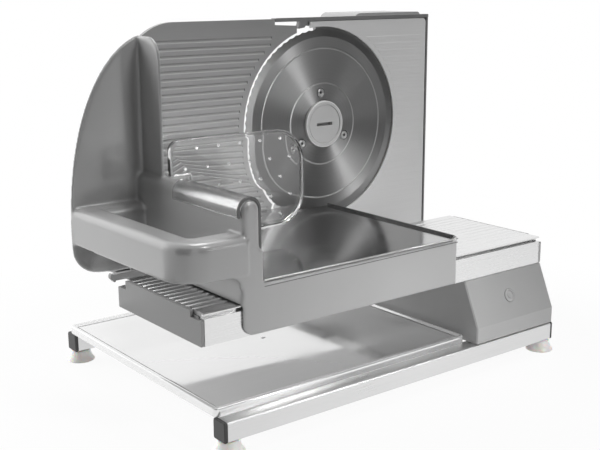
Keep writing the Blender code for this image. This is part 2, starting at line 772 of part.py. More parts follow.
soft = 1.5 * mm
tower = finish(loft([lift(tower_outline(0), "XZ", tower_front), lift(tower_outline(0), "XZ", tower_rear - soft),
                     lift(tower_outline(soft), "XZ", tower_rear)]), "rear_housing", 0.4, 0.5)
tower_inside = tower_rear - tower_wall
combine(tower, prism(tower_outline(tower_wall), "XZ", tower_front - over, tower_inside), "DIFFERENCE")
rear_boss = 11 * mm
combine(tower, round_pin(shaft_r + 4 * mm, tower_inside - rear_boss, tower_inside + 1 * mm, 0, 0, 32), "UNION")
combine(tower, round_pin(shaft_r + seat_gap, tower_inside - rear_boss - over, tower_inside - 4 * mm, 0, 0, 32),
        "DIFFERENCE")

# Blade shaft with its hub flange
shaft_end = tower_inside - 4 * mm - run_gap
finish(revolve([(0, hub_front), (hub_r, hub_front), (hub_r, hub_front + hub_t), (shaft_r + 3 * mm, hub_front + hub_t),
                (shaft_r, hub_front + hub_t), (shaft_r, shaft_end), (0, shaft_end)], 40), "blade_shaft", 0.3, 0.55, 1.0)


# Worm wheel on the shaft and worm on the motor's spindle, in mesh

lead = math.pi * worm_module
lead_angle = math.atan(lead / (2 * math.pi * worm_r))
tooth_add = worm_module * 0.85
tooth_ded = worm_module * 1.15
flank = math.tan(math.radians(20))


def wheel_loop(y):
    """Toothed outline at one slice of the wheel, turned to follow the worm's lead."""
    twist = -(y - worm_y) * math.tan(lead_angle) / wheel_r
    half = lead / 4 - tooth_play
    out = []
    for k in range(wheel_teeth):
        centre = 2 * math.pi * k / wheel_teeth + math.pi / wheel_teeth + twist
        tip = half - tooth_add * flank
        root = half + tooth_ded * flank
        for r, off in ((wheel_r - tooth_ded, -root), (wheel_r + tooth_add, -tip), (wheel_r + tooth_add, tip),
                       (wheel_r - tooth_ded, root)):
            a = centre + off / wheel_r
            out.append((r * math.cos(a), y, r * math.sin(a)))
    return out


slices = 3
wheel = finish(loft([wheel_loop(wheel_front + wheel_w * k / slices) for k in range(slices + 1)]), "worm_wheel",
               0.45, 0.6)
combine(wheel, round_pin(shaft_r + seat_gap, wheel_front - over, wheel_front + wheel_w + over, 0, 0, 32),
        "DIFFERENCE")


def make_worm():
    """Single-start worm: rows of points that climb with the thread, closed at both plain ends."""
    turn_steps = 20
    bottom = -worm_len / 2
    start = -(int(worm_len / 2 / lead) + 0.5) * lead
    root = worm_r - tooth_ded
    half = lead / 4 - tooth_play
    tip = half - tooth_add * flank
    foot = half + tooth_ded * flank
    phases = ((-foot, 0.0), (-tip, 1.0), (tip, 1.0), (foot, 0.0))
    turns = int(worm_len / lead) + 3
    loops = []
    for t in range(-2, turns):
        for off, high in phases:
            loop = []
            for k in range(turn_steps + 1):
                ang = 2 * math.pi * k / turn_steps
                z = start + t * lead + off + lead * k / turn_steps
                zc = min(max(z, bottom), -bottom)
                edge = min(zc - bottom, -bottom - zc) / (lead * 0.5)
                rise = high * max(0.0, min(1.0, edge))
                r = root + (tooth_add + tooth_ded) * rise
                loop.append((r * math.cos(ang), r * math.sin(ang), zc))
            loops.append(loop)
    bm = bmesh.new()
    rows = [[bm.verts.new(p) for p in loop] for loop in loops]
    for a, b in zip(rows, rows[1:]):
        for k in range(turn_steps):
            quad = (a[k], a[k + 1], b[k + 1], b[k])
            bm.faces.new(quad)
    bmesh.ops.remove_doubles(bm, verts=bm.verts, dist=1e-6)
    bmesh.ops.dissolve_degenerate(bm, edges=bm.edges, dist=1e-6)
    rims = [e for e in bm.edges if e.is_boundary]
    bmesh.ops.holes_fill(bm, edges=rims, sides=0)
    bmesh.ops.translate(bm, verts=bm.verts, vec=(worm_x, worm_y, 0))
    return bm


motor_top = -worm_len / 2 - 18 * mm
worm = finish(make_worm(), "worm_spindle", 0.3, 0.5, 1.0, smooth=30, at=(worm_x, worm_y, 0))
combine(worm, merged(revolve([(0, motor_top - 9 * mm), (worm_shaft_r, motor_top - 9 * mm),
                              (worm_shaft_r, -worm_len / 2 + 1 * mm), (0, -worm_len / 2 + 1 * mm)], 20,
                             (worm_x, worm_y, 0), "Z")), "UNION")
tip_r = 2.2 * mm
bearing_z = worm_len / 2 + 2 * mm
bearing_h = 6 * mm
combine(worm, merged(revolve([(0, worm_len / 2 - 1 * mm), (tip_r, worm_len / 2 - 1 * mm),
                              (tip_r, bearing_z + bearing_h), (0, bearing_z + bearing_h)], 20,
                             (worm_x, worm_y, 0), "Z")), "UNION")

# Motor can under the worm, with a flange that seats on the frame's back
motor = finish(revolve([(0, motor_top - motor_len), (motor_r - 2 * mm, motor_top - motor_len),
                        (motor_r, motor_top - motor_len + 2 * mm), (motor_r, motor_top), (0, motor_top)], 36,
                       (worm_x, worm_y, 0), "Z"), "motor", 0.4, 0.35, 0.8)
combine(motor, block(worm_x - motor_r, worm_x + motor_r, frame_rear + seat_gap, worm_y + motor_r,
                     motor_top - 3 * mm, motor_top, 2 * mm), "UNION")
combine(motor, revolve([(0, motor_top - 10 * mm), (worm_shaft_r + seat_gap, motor_top - 10 * mm),
                        (worm_shaft_r + seat_gap, motor_top + over), (0, motor_top + over)], 20,
                       (worm_x, worm_y, 0), "Z"), "DIFFERENCE")

# Bearing bracket for the worm's upper end
bearing = finish(block(worm_x - 7 * mm, worm_x + 7 * mm, frame_rear + seat_gap, worm_y + 7 * mm, bearing_z,
                       bearing_z + bearing_h, 2 * mm), "worm_bearing", 0.45, 0.2)
combine(bearing, revolve([(0, bearing_z - over), (tip_r + seat_gap, bearing_z - over),
                          (tip_r + seat_gap, bearing_z + bearing_h + over), (0, bearing_z + bearing_h + over)], 20,
                         (worm_x, worm_y, 0), "Z"), "DIFFERENCE")


# Blade with its ground, wavy edge

def make_blade():
    bm = bmesh.new()
    fine = wave_count * 4
    coarse = wave_count

    def ring(n, y, radius):
        return [bm.verts.new((radius(2 * math.pi * k / n) * math.cos(2 * math.pi * k / n), y,
                              radius(2 * math.pi * k / n) * math.sin(2 * math.pi * k / n))) for k in range(n)]

    def wavy(shift):
        return lambda a: blade_r - wave_depth * 0.5 * (1 - math.cos(wave_count * a)) - shift

    def plain(r):
        return lambda a: r

    def skin(a, b):
        """Join two rings; the first may have a whole number of points for each of the second's."""
        k = len(a) // len(b)
        n = len(b)
        for i in range(n):
            j = (i + 1) % n
            mid = i * k + k // 2
            for s in range(k):
                p = i * k + s
                q = (p + 1) % len(a)
                bm.faces.new((a[p], a[q], b[i] if p < mid or k == 1 else b[j]))
            m = a[mid % len(a)] if k > 1 else a[(i + 1) % len(a)]
            bm.faces.new((m, b[j], b[i]))

    step = 0.3 * mm
    front = [ring(fine, blade_t - edge_t, wavy(0)), ring(coarse, 0.25 * mm, plain(blade_r - blade_bevel)),
             ring(coarse, 0.25 * mm, plain(hub_ring_r + 0.4 * mm)), ring(coarse, 0.0, plain(hub_ring_r)),
             ring(coarse // 2, 0.0, plain(blade_bore))]
    back = [ring(fine, blade_t, wavy(0)), ring(coarse, blade_t, plain(blade_r - blade_bevel)),
            ring(coarse // 2, blade_t, plain(blade_bore))]
    for a, b in zip(front, front[1:]):
        skin(a, b)
    for a, b in zip(back, back[1:]):
        skin(a, b)
    skin(front[0], back[0])
    skin(front[-1], back[-1])
    return bm


blade = finish(make_blade(), "blade", 0.22, 0.6, 1.0, smooth=30)
screw_angles = [94.0, 94.0 + 120.0, 94.0 + 240.0]
for angle in screw_angles:
    x = screw_circle_r * math.cos(math.radians(angle))
    z = screw_circle_r * math.sin(math.radians(angle))
    combine(blade, revolve([(0, -over), (screw_head_r + 0.8 * mm, -over), (screw_head_r + 0.8 * mm, -0.2 * mm),
                            (1.9 * mm, blade_t - 0.2 * mm), (1.9 * mm, blade_t + over), (0, blade_t + over)], 20,
                           (x, 0, z)), "DIFFERENCE")
    combine(bpy.data.objects["blade_shaft"], round_pin(1.9 * mm, hub_front - over, hub_front + hub_t + over, x, z,
                                                       16), "DIFFERENCE")
for number, angle in enumerate(screw_angles, 1):
    x = screw_circle_r * math.cos(math.radians(angle))
    z = screw_circle_r * math.sin(math.radians(angle))
    screw = finish(revolve([(0, 0.1 * mm), (screw_head_r, 0.1 * mm), (1.6 * mm, blade_t - 0.1 * mm),
                            (1.6 * mm, hub_front + hub_t), (0, hub_front + hub_t)], 18, (x, 0, z)),
                   "blade_screw_%d" % number, 0.3, 0.5, 1.0, at=(x, 0, z))
    combine(screw, round_pin(1.1 * mm, -over, 0.7 * mm, x, z, 6), "DIFFERENCE")

# Lock cap with its coin slot, which holds the blade on the shaft
lock_pin_r = blade_bore - seat_gap
lock = finish(revolve([(0, -lock_cap_t), (lock_cap_r - 1.2 * mm, -lock_cap_t), (lock_cap_r, -lock_cap_t + 1.0 * mm),
                       (lock_cap_r, -seat_gap), (lock_pin_r, -seat_gap), (lock_pin_r, hub_front - 0.2 * mm),
                       (0, hub_front - 0.2 * mm)], 40), "blade_lock_cap", 0.4, 0.62)
ring_groove = revolve([(lock_cap_r - 3.2 * mm, -over), (lock_cap_r - 2.2 * mm, -over),
                       (lock_cap_r - 2.2 * mm, -lock_cap_t + 0.3 * mm),
                       (lock_cap_r - 3.2 * mm, -lock_cap_t + 0.3 * mm)], 40)
combine(lock, ring_groove, "DIFFERENCE")
combine(lock, block(-coin_slot_len / 2, coin_slot_len / 2, -over, -lock_cap_t + 2.2 * mm, -coin_slot_w / 2,
                    coin_slot_w / 2, 0.8 * mm, "XZ"), "DIFFERENCE")


# Stop plate with ribs, a round cut-out beside the blade and the nut of its adjuster

cut = blade_r + slot_w


def stop_outline():
    notch_x = -strip_left - 0.8 * mm
    low = stop_top - notch_depth
    start = math.degrees(math.acos(-notch_end / cut))
    end = 180 + math.degrees(math.acos(stop_right / cut))
    left = fillet([(-stop_right, -stop_bottom, 0), (notch_x, stop_top, 0.6 * mm),
                   (-stop_left, stop_top, stop_corner_r), (-stop_left, -stop_bottom, 3 * mm)], 10)
    return left, start, end, low, notch_x


left_side, arc_start, arc_end, notch_low, notch_x = stop_outline()
wheel_arc = arc(0, 0, cut, arc_end, arc_start, 44)
stop_pts = [(-stop_right, -stop_bottom)] + wheel_arc + [(-notch_end, notch_low), (notch_x, notch_low)] + left_side[1:]
stop = finish(prism(stop_pts, "XZ", 0, stop_t), "stop_plate", 0.42, 0.25, 0.6, smooth=30)
rib_arc = arc(0, 0, cut + 5 * mm, 240, 125, 30)
rib_top = stop_top - stop_band
rib_arc = [p for p in rib_arc if p[1] < rib_top - 0.2 * mm]
rib_field = [(-60 * mm, -92 * mm)] + rib_arc + [(-54 * mm, rib_top), (-stop_left + 9 * mm, rib_top),
                                               (-stop_left + 6 * mm, rib_top - 30 * mm), (-stop_left + 6 * mm, -92 * mm)]
rib_foot = rib_top - int((rib_top + 90 * mm) / stop_rib_pitch) * stop_rib_pitch
combine(stop, make_ribs("stop_ribs", rib_field, -stop_left, 0, rib_foot, rib_top, stop_rib_pitch, stop_rib_h, 0.0),
        "UNION")

# Adjuster behind the stop plate: guide block, two rods, nut and knob
block_front = stop_t + slice_max + 2 * mm
block_rear = block_front + block_t
nut_r = 6.2 * mm
nut_end = block_front + 3 * mm
screw_r = 2.7 * mm
screw_in = 3.6 * mm
gx, gz = -guide_x, -guide_drop
combine(stop, round_pin(nut_r, stop_t - 1 * mm, nut_end, gx, gz, 24), "UNION")
combine(stop, round_pin(screw_r + run_gap, stop_t + 1 * mm, nut_end + over, gx, gz, 20), "DIFFERENCE")
rod_xs = (gx - guide_span / 2, gx + guide_span / 2)
guide = finish(block(gx - guide_span / 2 - 10 * mm, gx + guide_span / 2 + 10 * mm, block_front, block_rear,
                     -arm_drop + seat_gap, gz + 12 * mm, 3 * mm, "XZ"), "stop_guide_block", 0.45, 0.15)
combine(guide, merged(round_pin(nut_r + run_gap, block_front - over, block_rear + over, gx, gz, 28),
                      round_pin(rod_r + run_gap, block_front - over, block_rear + over, rod_xs[0], gz, 24),
                      round_pin(rod_r + run_gap, block_front - over, block_rear + over, rod_xs[1], gz, 24)),
        "DIFFERENCE")
for side, rx in zip(("left", "right"), rod_xs):
    finish(round_pin(rod_r, stop_t + seat_gap, block_rear - 1 * mm, rx, gz, 24), "stop_rod_" + side, 0.25, 0.6, 1.0)
hub_y = nut_end + slice_max + 1 * mm
knob = finish(revolve([(0, nut_end - screw_in), (screw_r, nut_end - screw_in), (screw_r, hub_y),
                       (nut_r, hub_y), (nut_r, block_rear + seat_gap), (knob_r, block_rear + seat_gap),
                       (knob_r, block_rear + knob_t - 1.5 * mm), (knob_r - 1.5 * mm, block_rear + knob_t),
                       (0, block_rear + knob_t)], 36, (gx, 0, gz)), "thickness_knob", 0.5, 0.06, at=(gx, 0, gz))
grips = [round_pin(2.2 * mm, block_rear + 3 * mm, block_rear + knob_t + over,
                   gx + (knob_r + 0.6 * mm) * math.cos(2 * math.pi * k / 12),
                   gz + (knob_r + 0.6 * mm) * math.sin(2 * math.pi * k / 12), 10) for k in range(12)]
combine(knob, merged(*grips), "DIFFERENCE")

# Guide beam behind the arm, which carries the guide block
beam_z1 = -arm_drop - seat_gap + 0.3 * mm
beam_outer = fillet([(frame_rear + seat_gap, frame_bottom, 1 * mm), (block_rear, frame_bottom, 1 * mm),
                     (block_rear, beam_z1, 1 * mm), (frame_rear + seat_gap, beam_z1, 1 * mm)], 2)
bw = 1.8 * mm
beam_inner = fillet([(frame_rear + seat_gap + bw, frame_bottom + bw, 0.4 * mm), (block_rear - bw, frame_bottom + bw, 0.4 * mm),
                     (block_rear - bw, beam_z1 - bw, 0.4 * mm), (frame_rear + seat_gap + bw, beam_z1 - bw, 0.4 * mm)], 2)
beam_x0 = -stop_left + 4 * mm
beam_x1 = 2 * mm - seat_gap
finish(loft([lift(beam_outer, "YZ", beam_x0), lift(beam_outer, "YZ", beam_x1), lift(beam_inner, "YZ", beam_x1),
             lift(beam_inner, "YZ", beam_x0)], closed=True), "guide_beam", 0.35, 0.5, 0.9)


# Carriage: one moulding with front plate, deck, wall, shield, fence and handle loop

front_x0 = -205.0 * mm
deck_left = -wall_x + wall_t
foot_z = bench_top + run_gap
wall_y0 = plate_outer + 0.5 * mm
shield_front = -shield_y
shield_back = shield_front + shield_t

# Front plate with its rounded lower corner and the arch up to the handle
arch_r = 18 * mm
front_pts = fillet([(front_x0, plate_bottom, front_corner_r), (deck_right, plate_bottom, 1.0 * mm),
                    (deck_right, deck_top, 0.5 * mm), (-186.9 * mm, deck_top, 0),
                    (-186.9 * mm, -54 * mm, 2.5 * mm), (-226 * mm, -54 * mm, 0),
                    (-226 * mm, -handle_drop, 0), (front_x0, -handle_drop - 1.0 * mm, arch_r * 1.0)], 10)
carriage = finish(prism(front_pts, "XZ", plate_outer, plate_inner), "carriage_body", 0.38, 0.3, smooth=35)

# Deck under the steel floor, with its runners and the tongue in the bench's groove
tongue_z1 = bench_top - groove_drop - run_gap
tongue_z0 = tongue_z1 - (groove_h - 2 * run_gap)
combine(carriage, block(deck_left - 4 * mm, deck_right, plate_outer + 1 * mm, -deck_rear, deck_top - deck_t,
                        deck_top, 0.0), "UNION")
combine(carriage, block(front_x0 + 4 * mm, deck_right - 1 * mm, plate_inner - 1 * mm,
                        -bench_front + groove_depth - run_gap, tongue_z0, tongue_z1, 0.0), "UNION")
for y in (-bench_front + 8 * mm, -bench_rear - 14 * mm):
    combine(carriage, block(deck_left - 2 * mm, deck_right - 1 * mm, y, y + 3 * mm, foot_z, deck_top - 1 * mm, 0.0),
            "UNION")

# Low wall with a round top and a domed front end
half = wall_t / 2
mid_x = -wall_x + half


def wall_loop(y, shrink):
    """Wall section: vertical sides, a flared foot and a round top, drawn in by shrink at the dome."""
    h = half - shrink
    top = -wall_top - half - shrink * 0.2
    pts = [(-wall_foot_x + shrink, foot_z), (mid_x + h, foot_z)]
    pts += [(mid_x + h * math.cos(math.radians(a)), top + h * math.sin(math.radians(a))) for a in range(0, 181, 12)]
    pts += [(-wall_x + shrink, deck_top)]
    return [(x, y, z) for x, z in pts]


dome = 3.6 * mm
steps = [(wall_y0, dome * 0.75), (wall_y0 + dome * 0.25, dome * 0.3), (wall_y0 + dome * 0.75, dome * 0.05),
         (wall_y0 + dome * 1.2, 0.0), (shield_back - 0.5 * mm, 0.0)]
combine(carriage, loft([wall_loop(y, s) for y, s in steps]), "UNION")

# Column that joins the wall, the front plate and the handle at the front corner
combine(carriage, prism(fillet([(-206.5 * mm, deck_top - 2 * mm, 0), (-186.9 * mm, deck_top - 2 * mm, 0),
                                (-186.9 * mm, -54 * mm, 2.5 * mm), (-206.5 * mm, -45 * mm, 2.5 * mm)], 4), "XZ",
                        plate_outer + 0.6 * mm, -holder_front - run_gap), "UNION")


# Shield outline: a long curve down to a rounded heel
def shield_outline():
    heel = 22 * mm
    pts = bezier((-fence_x + 1 * mm, shield_top), (-fence_x - 26 * mm, shield_top - 8.5 * mm),
                 (-shield_reach, 33 * mm), (-shield_reach, -62 * mm), 26)
    pts += arc(-shield_reach + heel, -shield_bottom + heel + 1.5 * mm, heel, 190, 262, 10)
    pts += [(-226 * mm, -shield_bottom), (-wall_x + wall_t * 0.5, -shield_bottom),
            (-wall_x + wall_t * 0.5, -60 * mm), (-fence_x + fence_t, -30 * mm), (-fence_x + fence_t, shield_top)]
    return pts


combine(carriage, prism(shield_outline(), "XZ", shield_front, shield_back), "UNION")

# Fence: the tall narrow wall that stands on the low wall, in front of the shield
fence = fillet([(shield_back - 0.5 * mm, -wall_top - half, 0), (shield_back - 0.5 * mm, shield_top - 0.2 * mm, 0),
                (shield_front - fence_depth, shield_top - 0.2 * mm, 17 * mm),
                (shield_front - fence_depth, -wall_top - half, 0)], 7)
combine(carriage, prism(fence, "YZ", -fence_x, -fence_x + fence_t - 0.2 * mm), "UNION")


def handle_section():
    """Grip section across the path: flat below, upright outside, domed above."""
    w = handle_w / 2
    low = -handle_drop
    top = low + handle_h
    r = handle_round
    pts = [(-w, low + 0.6 * mm), (-w + 0.6 * mm, low), (w - 2.5 * mm, low + 0.2 * mm), (w, low + 3 * mm)]
    pts += arc(w - r, top - r - 0.4 * mm, r, 0, 75, 5)
    pts += arc(-w + r, top - r - 0.4 * mm, r, 105, 180, 5)
    return pts


def sweep(section, path):
    """Carry a section of (across, height) points along a path of (x, y, width, rise) points."""
    loops = []
    n = len(path)
    for i in range(n):
        a = Vector(path[max(i - 1, 0)][:2])
        b = Vector(path[min(i + 1, n - 1)][:2])
        t = (b - a).normalized()
        side = Vector((t.y, -t.x))
        x, y, wide, rise = path[i]
        loops.append([(x + side.x * u * wide, y + side.y * u * wide, z + rise) for u, z in section])
    return loft(loops)


def handle_path():
    """Middle line of the grip: from the shield forward, and round to the front plate."""
    w = handle_w / 2
    x0 = -handle_out + w
    y_front = plate_outer - 1.2 * mm + w
    pts = [(x0 - handle_flare, shield_front + 1 * mm, 1.0, handle_rise)]
    for u, v in arc(x0 + handle_corner_r, y_front + handle_corner_r, handle_corner_r, 180, 270, 12):
        pts.append((u, v, 1.0, 0.0))
    pts.append((-wall_x + 3 * mm, y_front, 1.0, 0.0))
    return pts


combine(carriage, sweep([(-u, z) for u, z in handle_section()], handle_path()), "UNION")

# Rear bar of the grip, along the shield
bar_top = -handle_drop + handle_h
bar_front = shield_front - handle_rear_w
combine(carriage, prism(fillet([(shield_front + 1 * mm, -handle_drop + 2 * mm, 0),
                                (shield_front + 1 * mm, bar_top + 0.8 * mm, 0),
                                (bar_front, bar_top - 0.7 * mm, 7 * mm), (bar_front, -handle_drop + 2 * mm, 2 * mm)], 6),
                        "YZ", -handle_out + 9 * mm, -wall_x + 4 * mm), "UNION")

# Upright edge tab at the deck's front right corner
combine(carriage, block(deck_right - 3.6 * mm, deck_right, plate_outer + 0.4 * mm, plate_outer + 3.4 * mm,
                        deck_top - 1 * mm, -deck_drop + 2.2 * mm, 0.8 * mm), "UNION")

# Steel floor with a folded edge on its right
floor_left = deck_left + seat_gap + 1.9 * mm
floor = finish(block(floor_left, deck_right, plate_outer + 3.8 * mm, -deck_rear, -deck_drop - floor_sheet,
                     -deck_drop, 0.0), "carriage_floor", 0.2, 0.55, 1.0)
combine(floor, block(deck_right - 1.2 * mm, deck_right, plate_outer + 3.8 * mm, -deck_rear - 0.2 * mm,
                     -deck_drop - 0.5 * mm, -deck_drop + 2.0 * mm, 0.0), "UNION")
combine(floor, block(floor_left, deck_right - 4.2 * mm, plate_outer + 0.6 * mm,
                     plate_outer + 4.2 * mm, -deck_drop - floor_sheet, -deck_drop, 0.0), "UNION")


# Leftover holder: a clear sleeve on the low wall, a plate with a thick rim, and small spikes

in_half = half + seat_gap
out_half = in_half + holder_t
wall_crown = -wall_top
sleeve_top = wall_crown + seat_gap + holder_t


def sleeve_outline():
    """Inverted U that rides on the wall, with a short outer leg and a long inner leg."""
    cz = wall_crown - half
    arcs_out = arc(mid_x, cz, out_half, 180, 0, 12)
    arcs_in = arc(mid_x, cz, in_half, 0, 180, 12)
    low_out = wall_crown - outer_leg
    low_in = wall_crown - inner_leg
    return ([(mid_x - out_half, low_out)] + arcs_out + [(mid_x + out_half, low_in), (mid_x + in_half, low_in)]
            + arcs_in + [(mid_x - in_half, low_out)])


plate_y0 = -holder_rear - 0.5 * mm
plate_y1 = plate_y0 + holder_plate_t
holder_rim_front = plate_y1 - holder_rim_t
finish(prism(sleeve_outline(), "XZ", -holder_front, holder_rim_front - seat_gap), "leftover_holder", 0.12, 0.8, alpha=0.35)


def holder_outline(inset):
    right = -holder_right - inset
    top = holder_top - inset
    left = mid_x - out_half + inset
    base = wall_crown + seat_gap + 0.6 * mm + inset * 0.5
    return fillet([(left, base, 2 * mm), (mid_x + in_half + 0.4 * mm + inset * 0.5, base, 0.0),
                   (mid_x + in_half + 0.4 * mm + inset * 0.5, -deck_drop + 7.5 * mm + inset, 4 * mm),
                   (right, -deck_drop + 11 * mm + inset, 25 * mm - inset), (right, top, 27 * mm - inset),
                   (left, top, 8 * mm - inset)], 7)


holder = finish(prism(holder_outline(0), "XZ", plate_y0, plate_y1), "holder_plate", 0.12, 0.8, alpha=0.35)
rim_outer = holder_outline(0.1 * mm)
rim_inner = holder_outline(holder_rim_w)
rim = loft([lift(rim_outer, "XZ", holder_rim_front), lift(rim_outer, "XZ", plate_y1 - 0.5 * mm),
            lift(rim_inner, "XZ", plate_y1 - 0.5 * mm), lift(rim_inner, "XZ", holder_rim_front)],
           closed=True)
combine(holder, rim, "UNION")


def spikes():
    out = []
    rows = int((holder_top + deck_drop - 24 * mm) / spike_row) + 1
    for r in range(rows):
        z = holder_top - 9.5 * mm - r * spike_row
        shift = 0.0 if r % 2 == 0 else spike_pitch / 2
        x = -holder_right - 10 * mm - (spike_pitch * 0.75 if r % 2 == 0 else spike_pitch * 0.25)
        left = mid_x + out_half + 6 * mm
        while x > left:
            inside = x < -holder_right - 8 * mm
            if inside:
                out.append(revolve([(0, 0), (spike_r, 0), (spike_r * 0.6, spike_h * 0.5), (0, spike_h)], 6,
                                   (x, plate_y1 - 0.4 * mm, z)))
            x -= spike_pitch
    return out


combine(holder, merged(*spikes()), "UNION")

# Moving pieces turn or slide about their own origins
for name, at in (("blade", (0, 0, 0)), ("blade_lock_cap", (0, 0, 0)), ("worm_wheel", (0, worm_y, 0))):
    obj = bpy.data.objects[name]
    target = axis + Vector(at)
    obj.data.transform(Matrix.Translation(obj.location - target))
    obj.location = target

bpy.context.view_layer.update()
for obj in bpy.data.objects:
    obj.data.update()
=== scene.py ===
"""Looks of an electric food slicer: ground round blade, ribbed stop plate, sliding carriage,
aluminium bench, steel drip tray and a clear leftover holder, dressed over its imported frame."""

import logging
from collections.abc import Callable
from dataclasses import dataclass
from enum import Enum
from functools import cache
from math import atan2, cos, hypot, pi, radians, sin, sqrt, tan

import bmesh
import bpy
from bpy.types import ID, Material, Mesh, MeshPolygon, Node, NodeSocket, NodeTree, Object
from mathutils import Matrix, Vector


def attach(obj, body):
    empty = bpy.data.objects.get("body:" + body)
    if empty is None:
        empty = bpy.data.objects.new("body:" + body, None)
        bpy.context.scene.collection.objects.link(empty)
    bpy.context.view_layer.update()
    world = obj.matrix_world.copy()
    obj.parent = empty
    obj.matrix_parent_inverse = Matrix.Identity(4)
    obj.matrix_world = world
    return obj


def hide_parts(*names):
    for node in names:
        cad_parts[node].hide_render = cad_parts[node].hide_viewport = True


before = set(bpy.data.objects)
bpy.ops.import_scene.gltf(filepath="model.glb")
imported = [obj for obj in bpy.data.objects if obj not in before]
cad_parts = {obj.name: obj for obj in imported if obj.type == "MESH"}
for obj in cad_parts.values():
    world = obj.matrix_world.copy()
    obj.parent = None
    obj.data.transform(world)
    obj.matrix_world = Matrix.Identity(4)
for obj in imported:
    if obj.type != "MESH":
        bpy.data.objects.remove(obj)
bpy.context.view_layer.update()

logging.basicConfig(level=logging.INFO, format="%(message)s")
LOG = logging.getLogger("slicer")

MM = 0.001
BLADE_AXIS = Vector((64.25, 60.4, 189.6)) * MM
WHITE = (1.0, 1.0, 1.0, 1.0)
SMALLEST_ROUND = 0.02
Point = tuple[float, float, float]
Flat = tuple[float, float]
Shape = tuple[list[Point], list[tuple[int, ...]]]


class Axis(Enum):
    """The model's axes: across, front to back, and up."""

    X = 0
    Y = 1
    Z = 2

    def drawn_out(self, share: float) -> tuple[float, ...]:
        """Gives the scale on each axis of a pattern that is drawn out along this one."""
        return tuple(share if axis == self.value else 1.0 for axis in range(3))


# Colours and nodes


def linear(hex_colour: str) -> tuple[float, float, float, float]:
    """Turns an sRGB hex colour to linear RGBA.

    Args:
        hex_colour: Six hex digits with a leading #.

    Returns:
        Linear red, green, blue and full alpha.
    """
    parts = [int(hex_colour[i : i + 2], 16) / 255 for i in (1, 3, 5)]
    flat = [c / 12.92 if c <= 0.04045 else ((c + 0.055) / 1.055) ** 2.4 for c in parts]
    return (flat[0], flat[1], flat[2], 1.0)


def add_node(tree: NodeTree, kind: str, inputs: dict | None = None, **settings: object) -> Node:
    """Adds one shader node with its settings, values and links.

    Args:
        tree: The material's or world's node tree.
        kind: Blender's name for the node type.
        inputs: Input name or number to a value, or to the output socket that feeds it.
        **settings: The node's own properties.

    Returns:
        The new node.
    """
    made = tree.nodes.new(kind)
    for name, value in settings.items():
        setattr(made, name, value)
    for key, value in (inputs or {}).items():
        if isinstance(value, NodeSocket):
            tree.links.new(value, made.inputs[key])
        else:
            made.inputs[key].default_value = value
    return made


def combine(tree: NodeTree, operation: str, first: NodeSocket, second: NodeSocket | float) -> NodeSocket:
    """Adds or multiplies two values, or takes the larger."""
    return add_node(tree, "ShaderNodeMath", {0: first, 1: second}, operation=operation).outputs[0]


def blank(name: str) -> Material:
    """Makes a material with no nodes in it yet.

    Args:
        name: The material's name.

    Returns:
        The material.
    """
    made = bpy.data.materials.new(name)
    made.use_nodes = True
    made.node_tree.nodes.clear()
    return made


@dataclass
class Surface:
    """A material while it is built from a finish."""

    finish: "Finish"
    material: Material
    shader: Node
    point: NodeSocket

    def node(self, kind: str, inputs: dict | None = None, **settings: object) -> Node:
        """Adds one node to the material."""
        return add_node(self.material.node_tree, kind, inputs, **settings)

    def feed(self, name: str, source: NodeSocket) -> None:
        """Links a socket to one of the shader's inputs."""
        self.material.node_tree.links.new(source, self.shader.inputs[name])

    def give(self, values: dict[str, float]) -> None:
        """Sets values of the shader by name."""
        for name, value in values.items():
            self.shader.inputs[name].default_value = value

    def mapped(self, scale: tuple[float, ...], shift: tuple[float, ...] = (0.0, 0.0, 0.0)) -> NodeSocket:
        """Gives the point on the piece, scaled on each axis and then shifted."""
        return self.node("ShaderNodeMapping", {"Vector": self.point, "Location": shift, "Scale": scale}).outputs[0]

    def noise(self, size_mm: float, detail: float, at: NodeSocket | None = None, **more: float) -> NodeSocket:
        """Adds a cloudy pattern.

        Args:
            size_mm: Width of its clouds in millimetres.
            detail: How many finer layers it has.
            at: Where it is read, when that isn't the point on the piece.
            **more: Other values of the pattern by name.

        Returns:
            The pattern, from 0 to 1.
        """
        place = self.point if at is None else at
        return self.node("ShaderNodeTexNoise", {
            "Vector": place, "Scale": 1 / (size_mm * MM), "Detail": detail, **more}).outputs["Fac"]

    def tone(self, pattern: NodeSocket, spread: float) -> None:
        """Varies the colour between a darker and a lighter tone of itself.

        Args:
            pattern: A pattern from 0 to 1.
            spread: The share of brightness between the two tones.
        """
        base = linear(self.finish.colour)[:3]
        low = tuple(c * (1 - spread) for c in base) + (1.0,)
        high = tuple(min(c * (1 + spread), 0.95) for c in base) + (1.0,)
        mix = self.node("ShaderNodeMix", {"Factor": pattern, 6: low, 7: high}, data_type="RGBA")
        self.feed("Base Color", mix.outputs[2])

    def gloss(self, pattern: NodeSocket, less: float, more: float, low: float = 0.0, high: float = 1.0) -> None:
        """Varies the roughness with a pattern.

        Args:
            pattern: The pattern.
            less: How much smoother than its finish the surface is at the pattern's low end.
            more: How much rougher it is at the high end.
            low: Low end.
            high: High end.
        """
        middle = self.finish.roughness
        spread = self.node("ShaderNodeMapRange", {
            "Value": pattern, "From Min": low, "From Max": high, "To Min": middle - less, "To Max": middle + more})
        self.feed("Roughness", spread.outputs[0])

    def relief(self, pattern: NodeSocket, strength: float, depth_mm: float) -> None:
        """Raises and sinks the surface with a height from 0 to 1, to a share of a full depth in millimetres."""
        bump = self.node("ShaderNodeBump", {"Height": pattern, "Strength": strength, "Distance": depth_mm * MM})
        self.feed("Normal", bump.outputs[0])


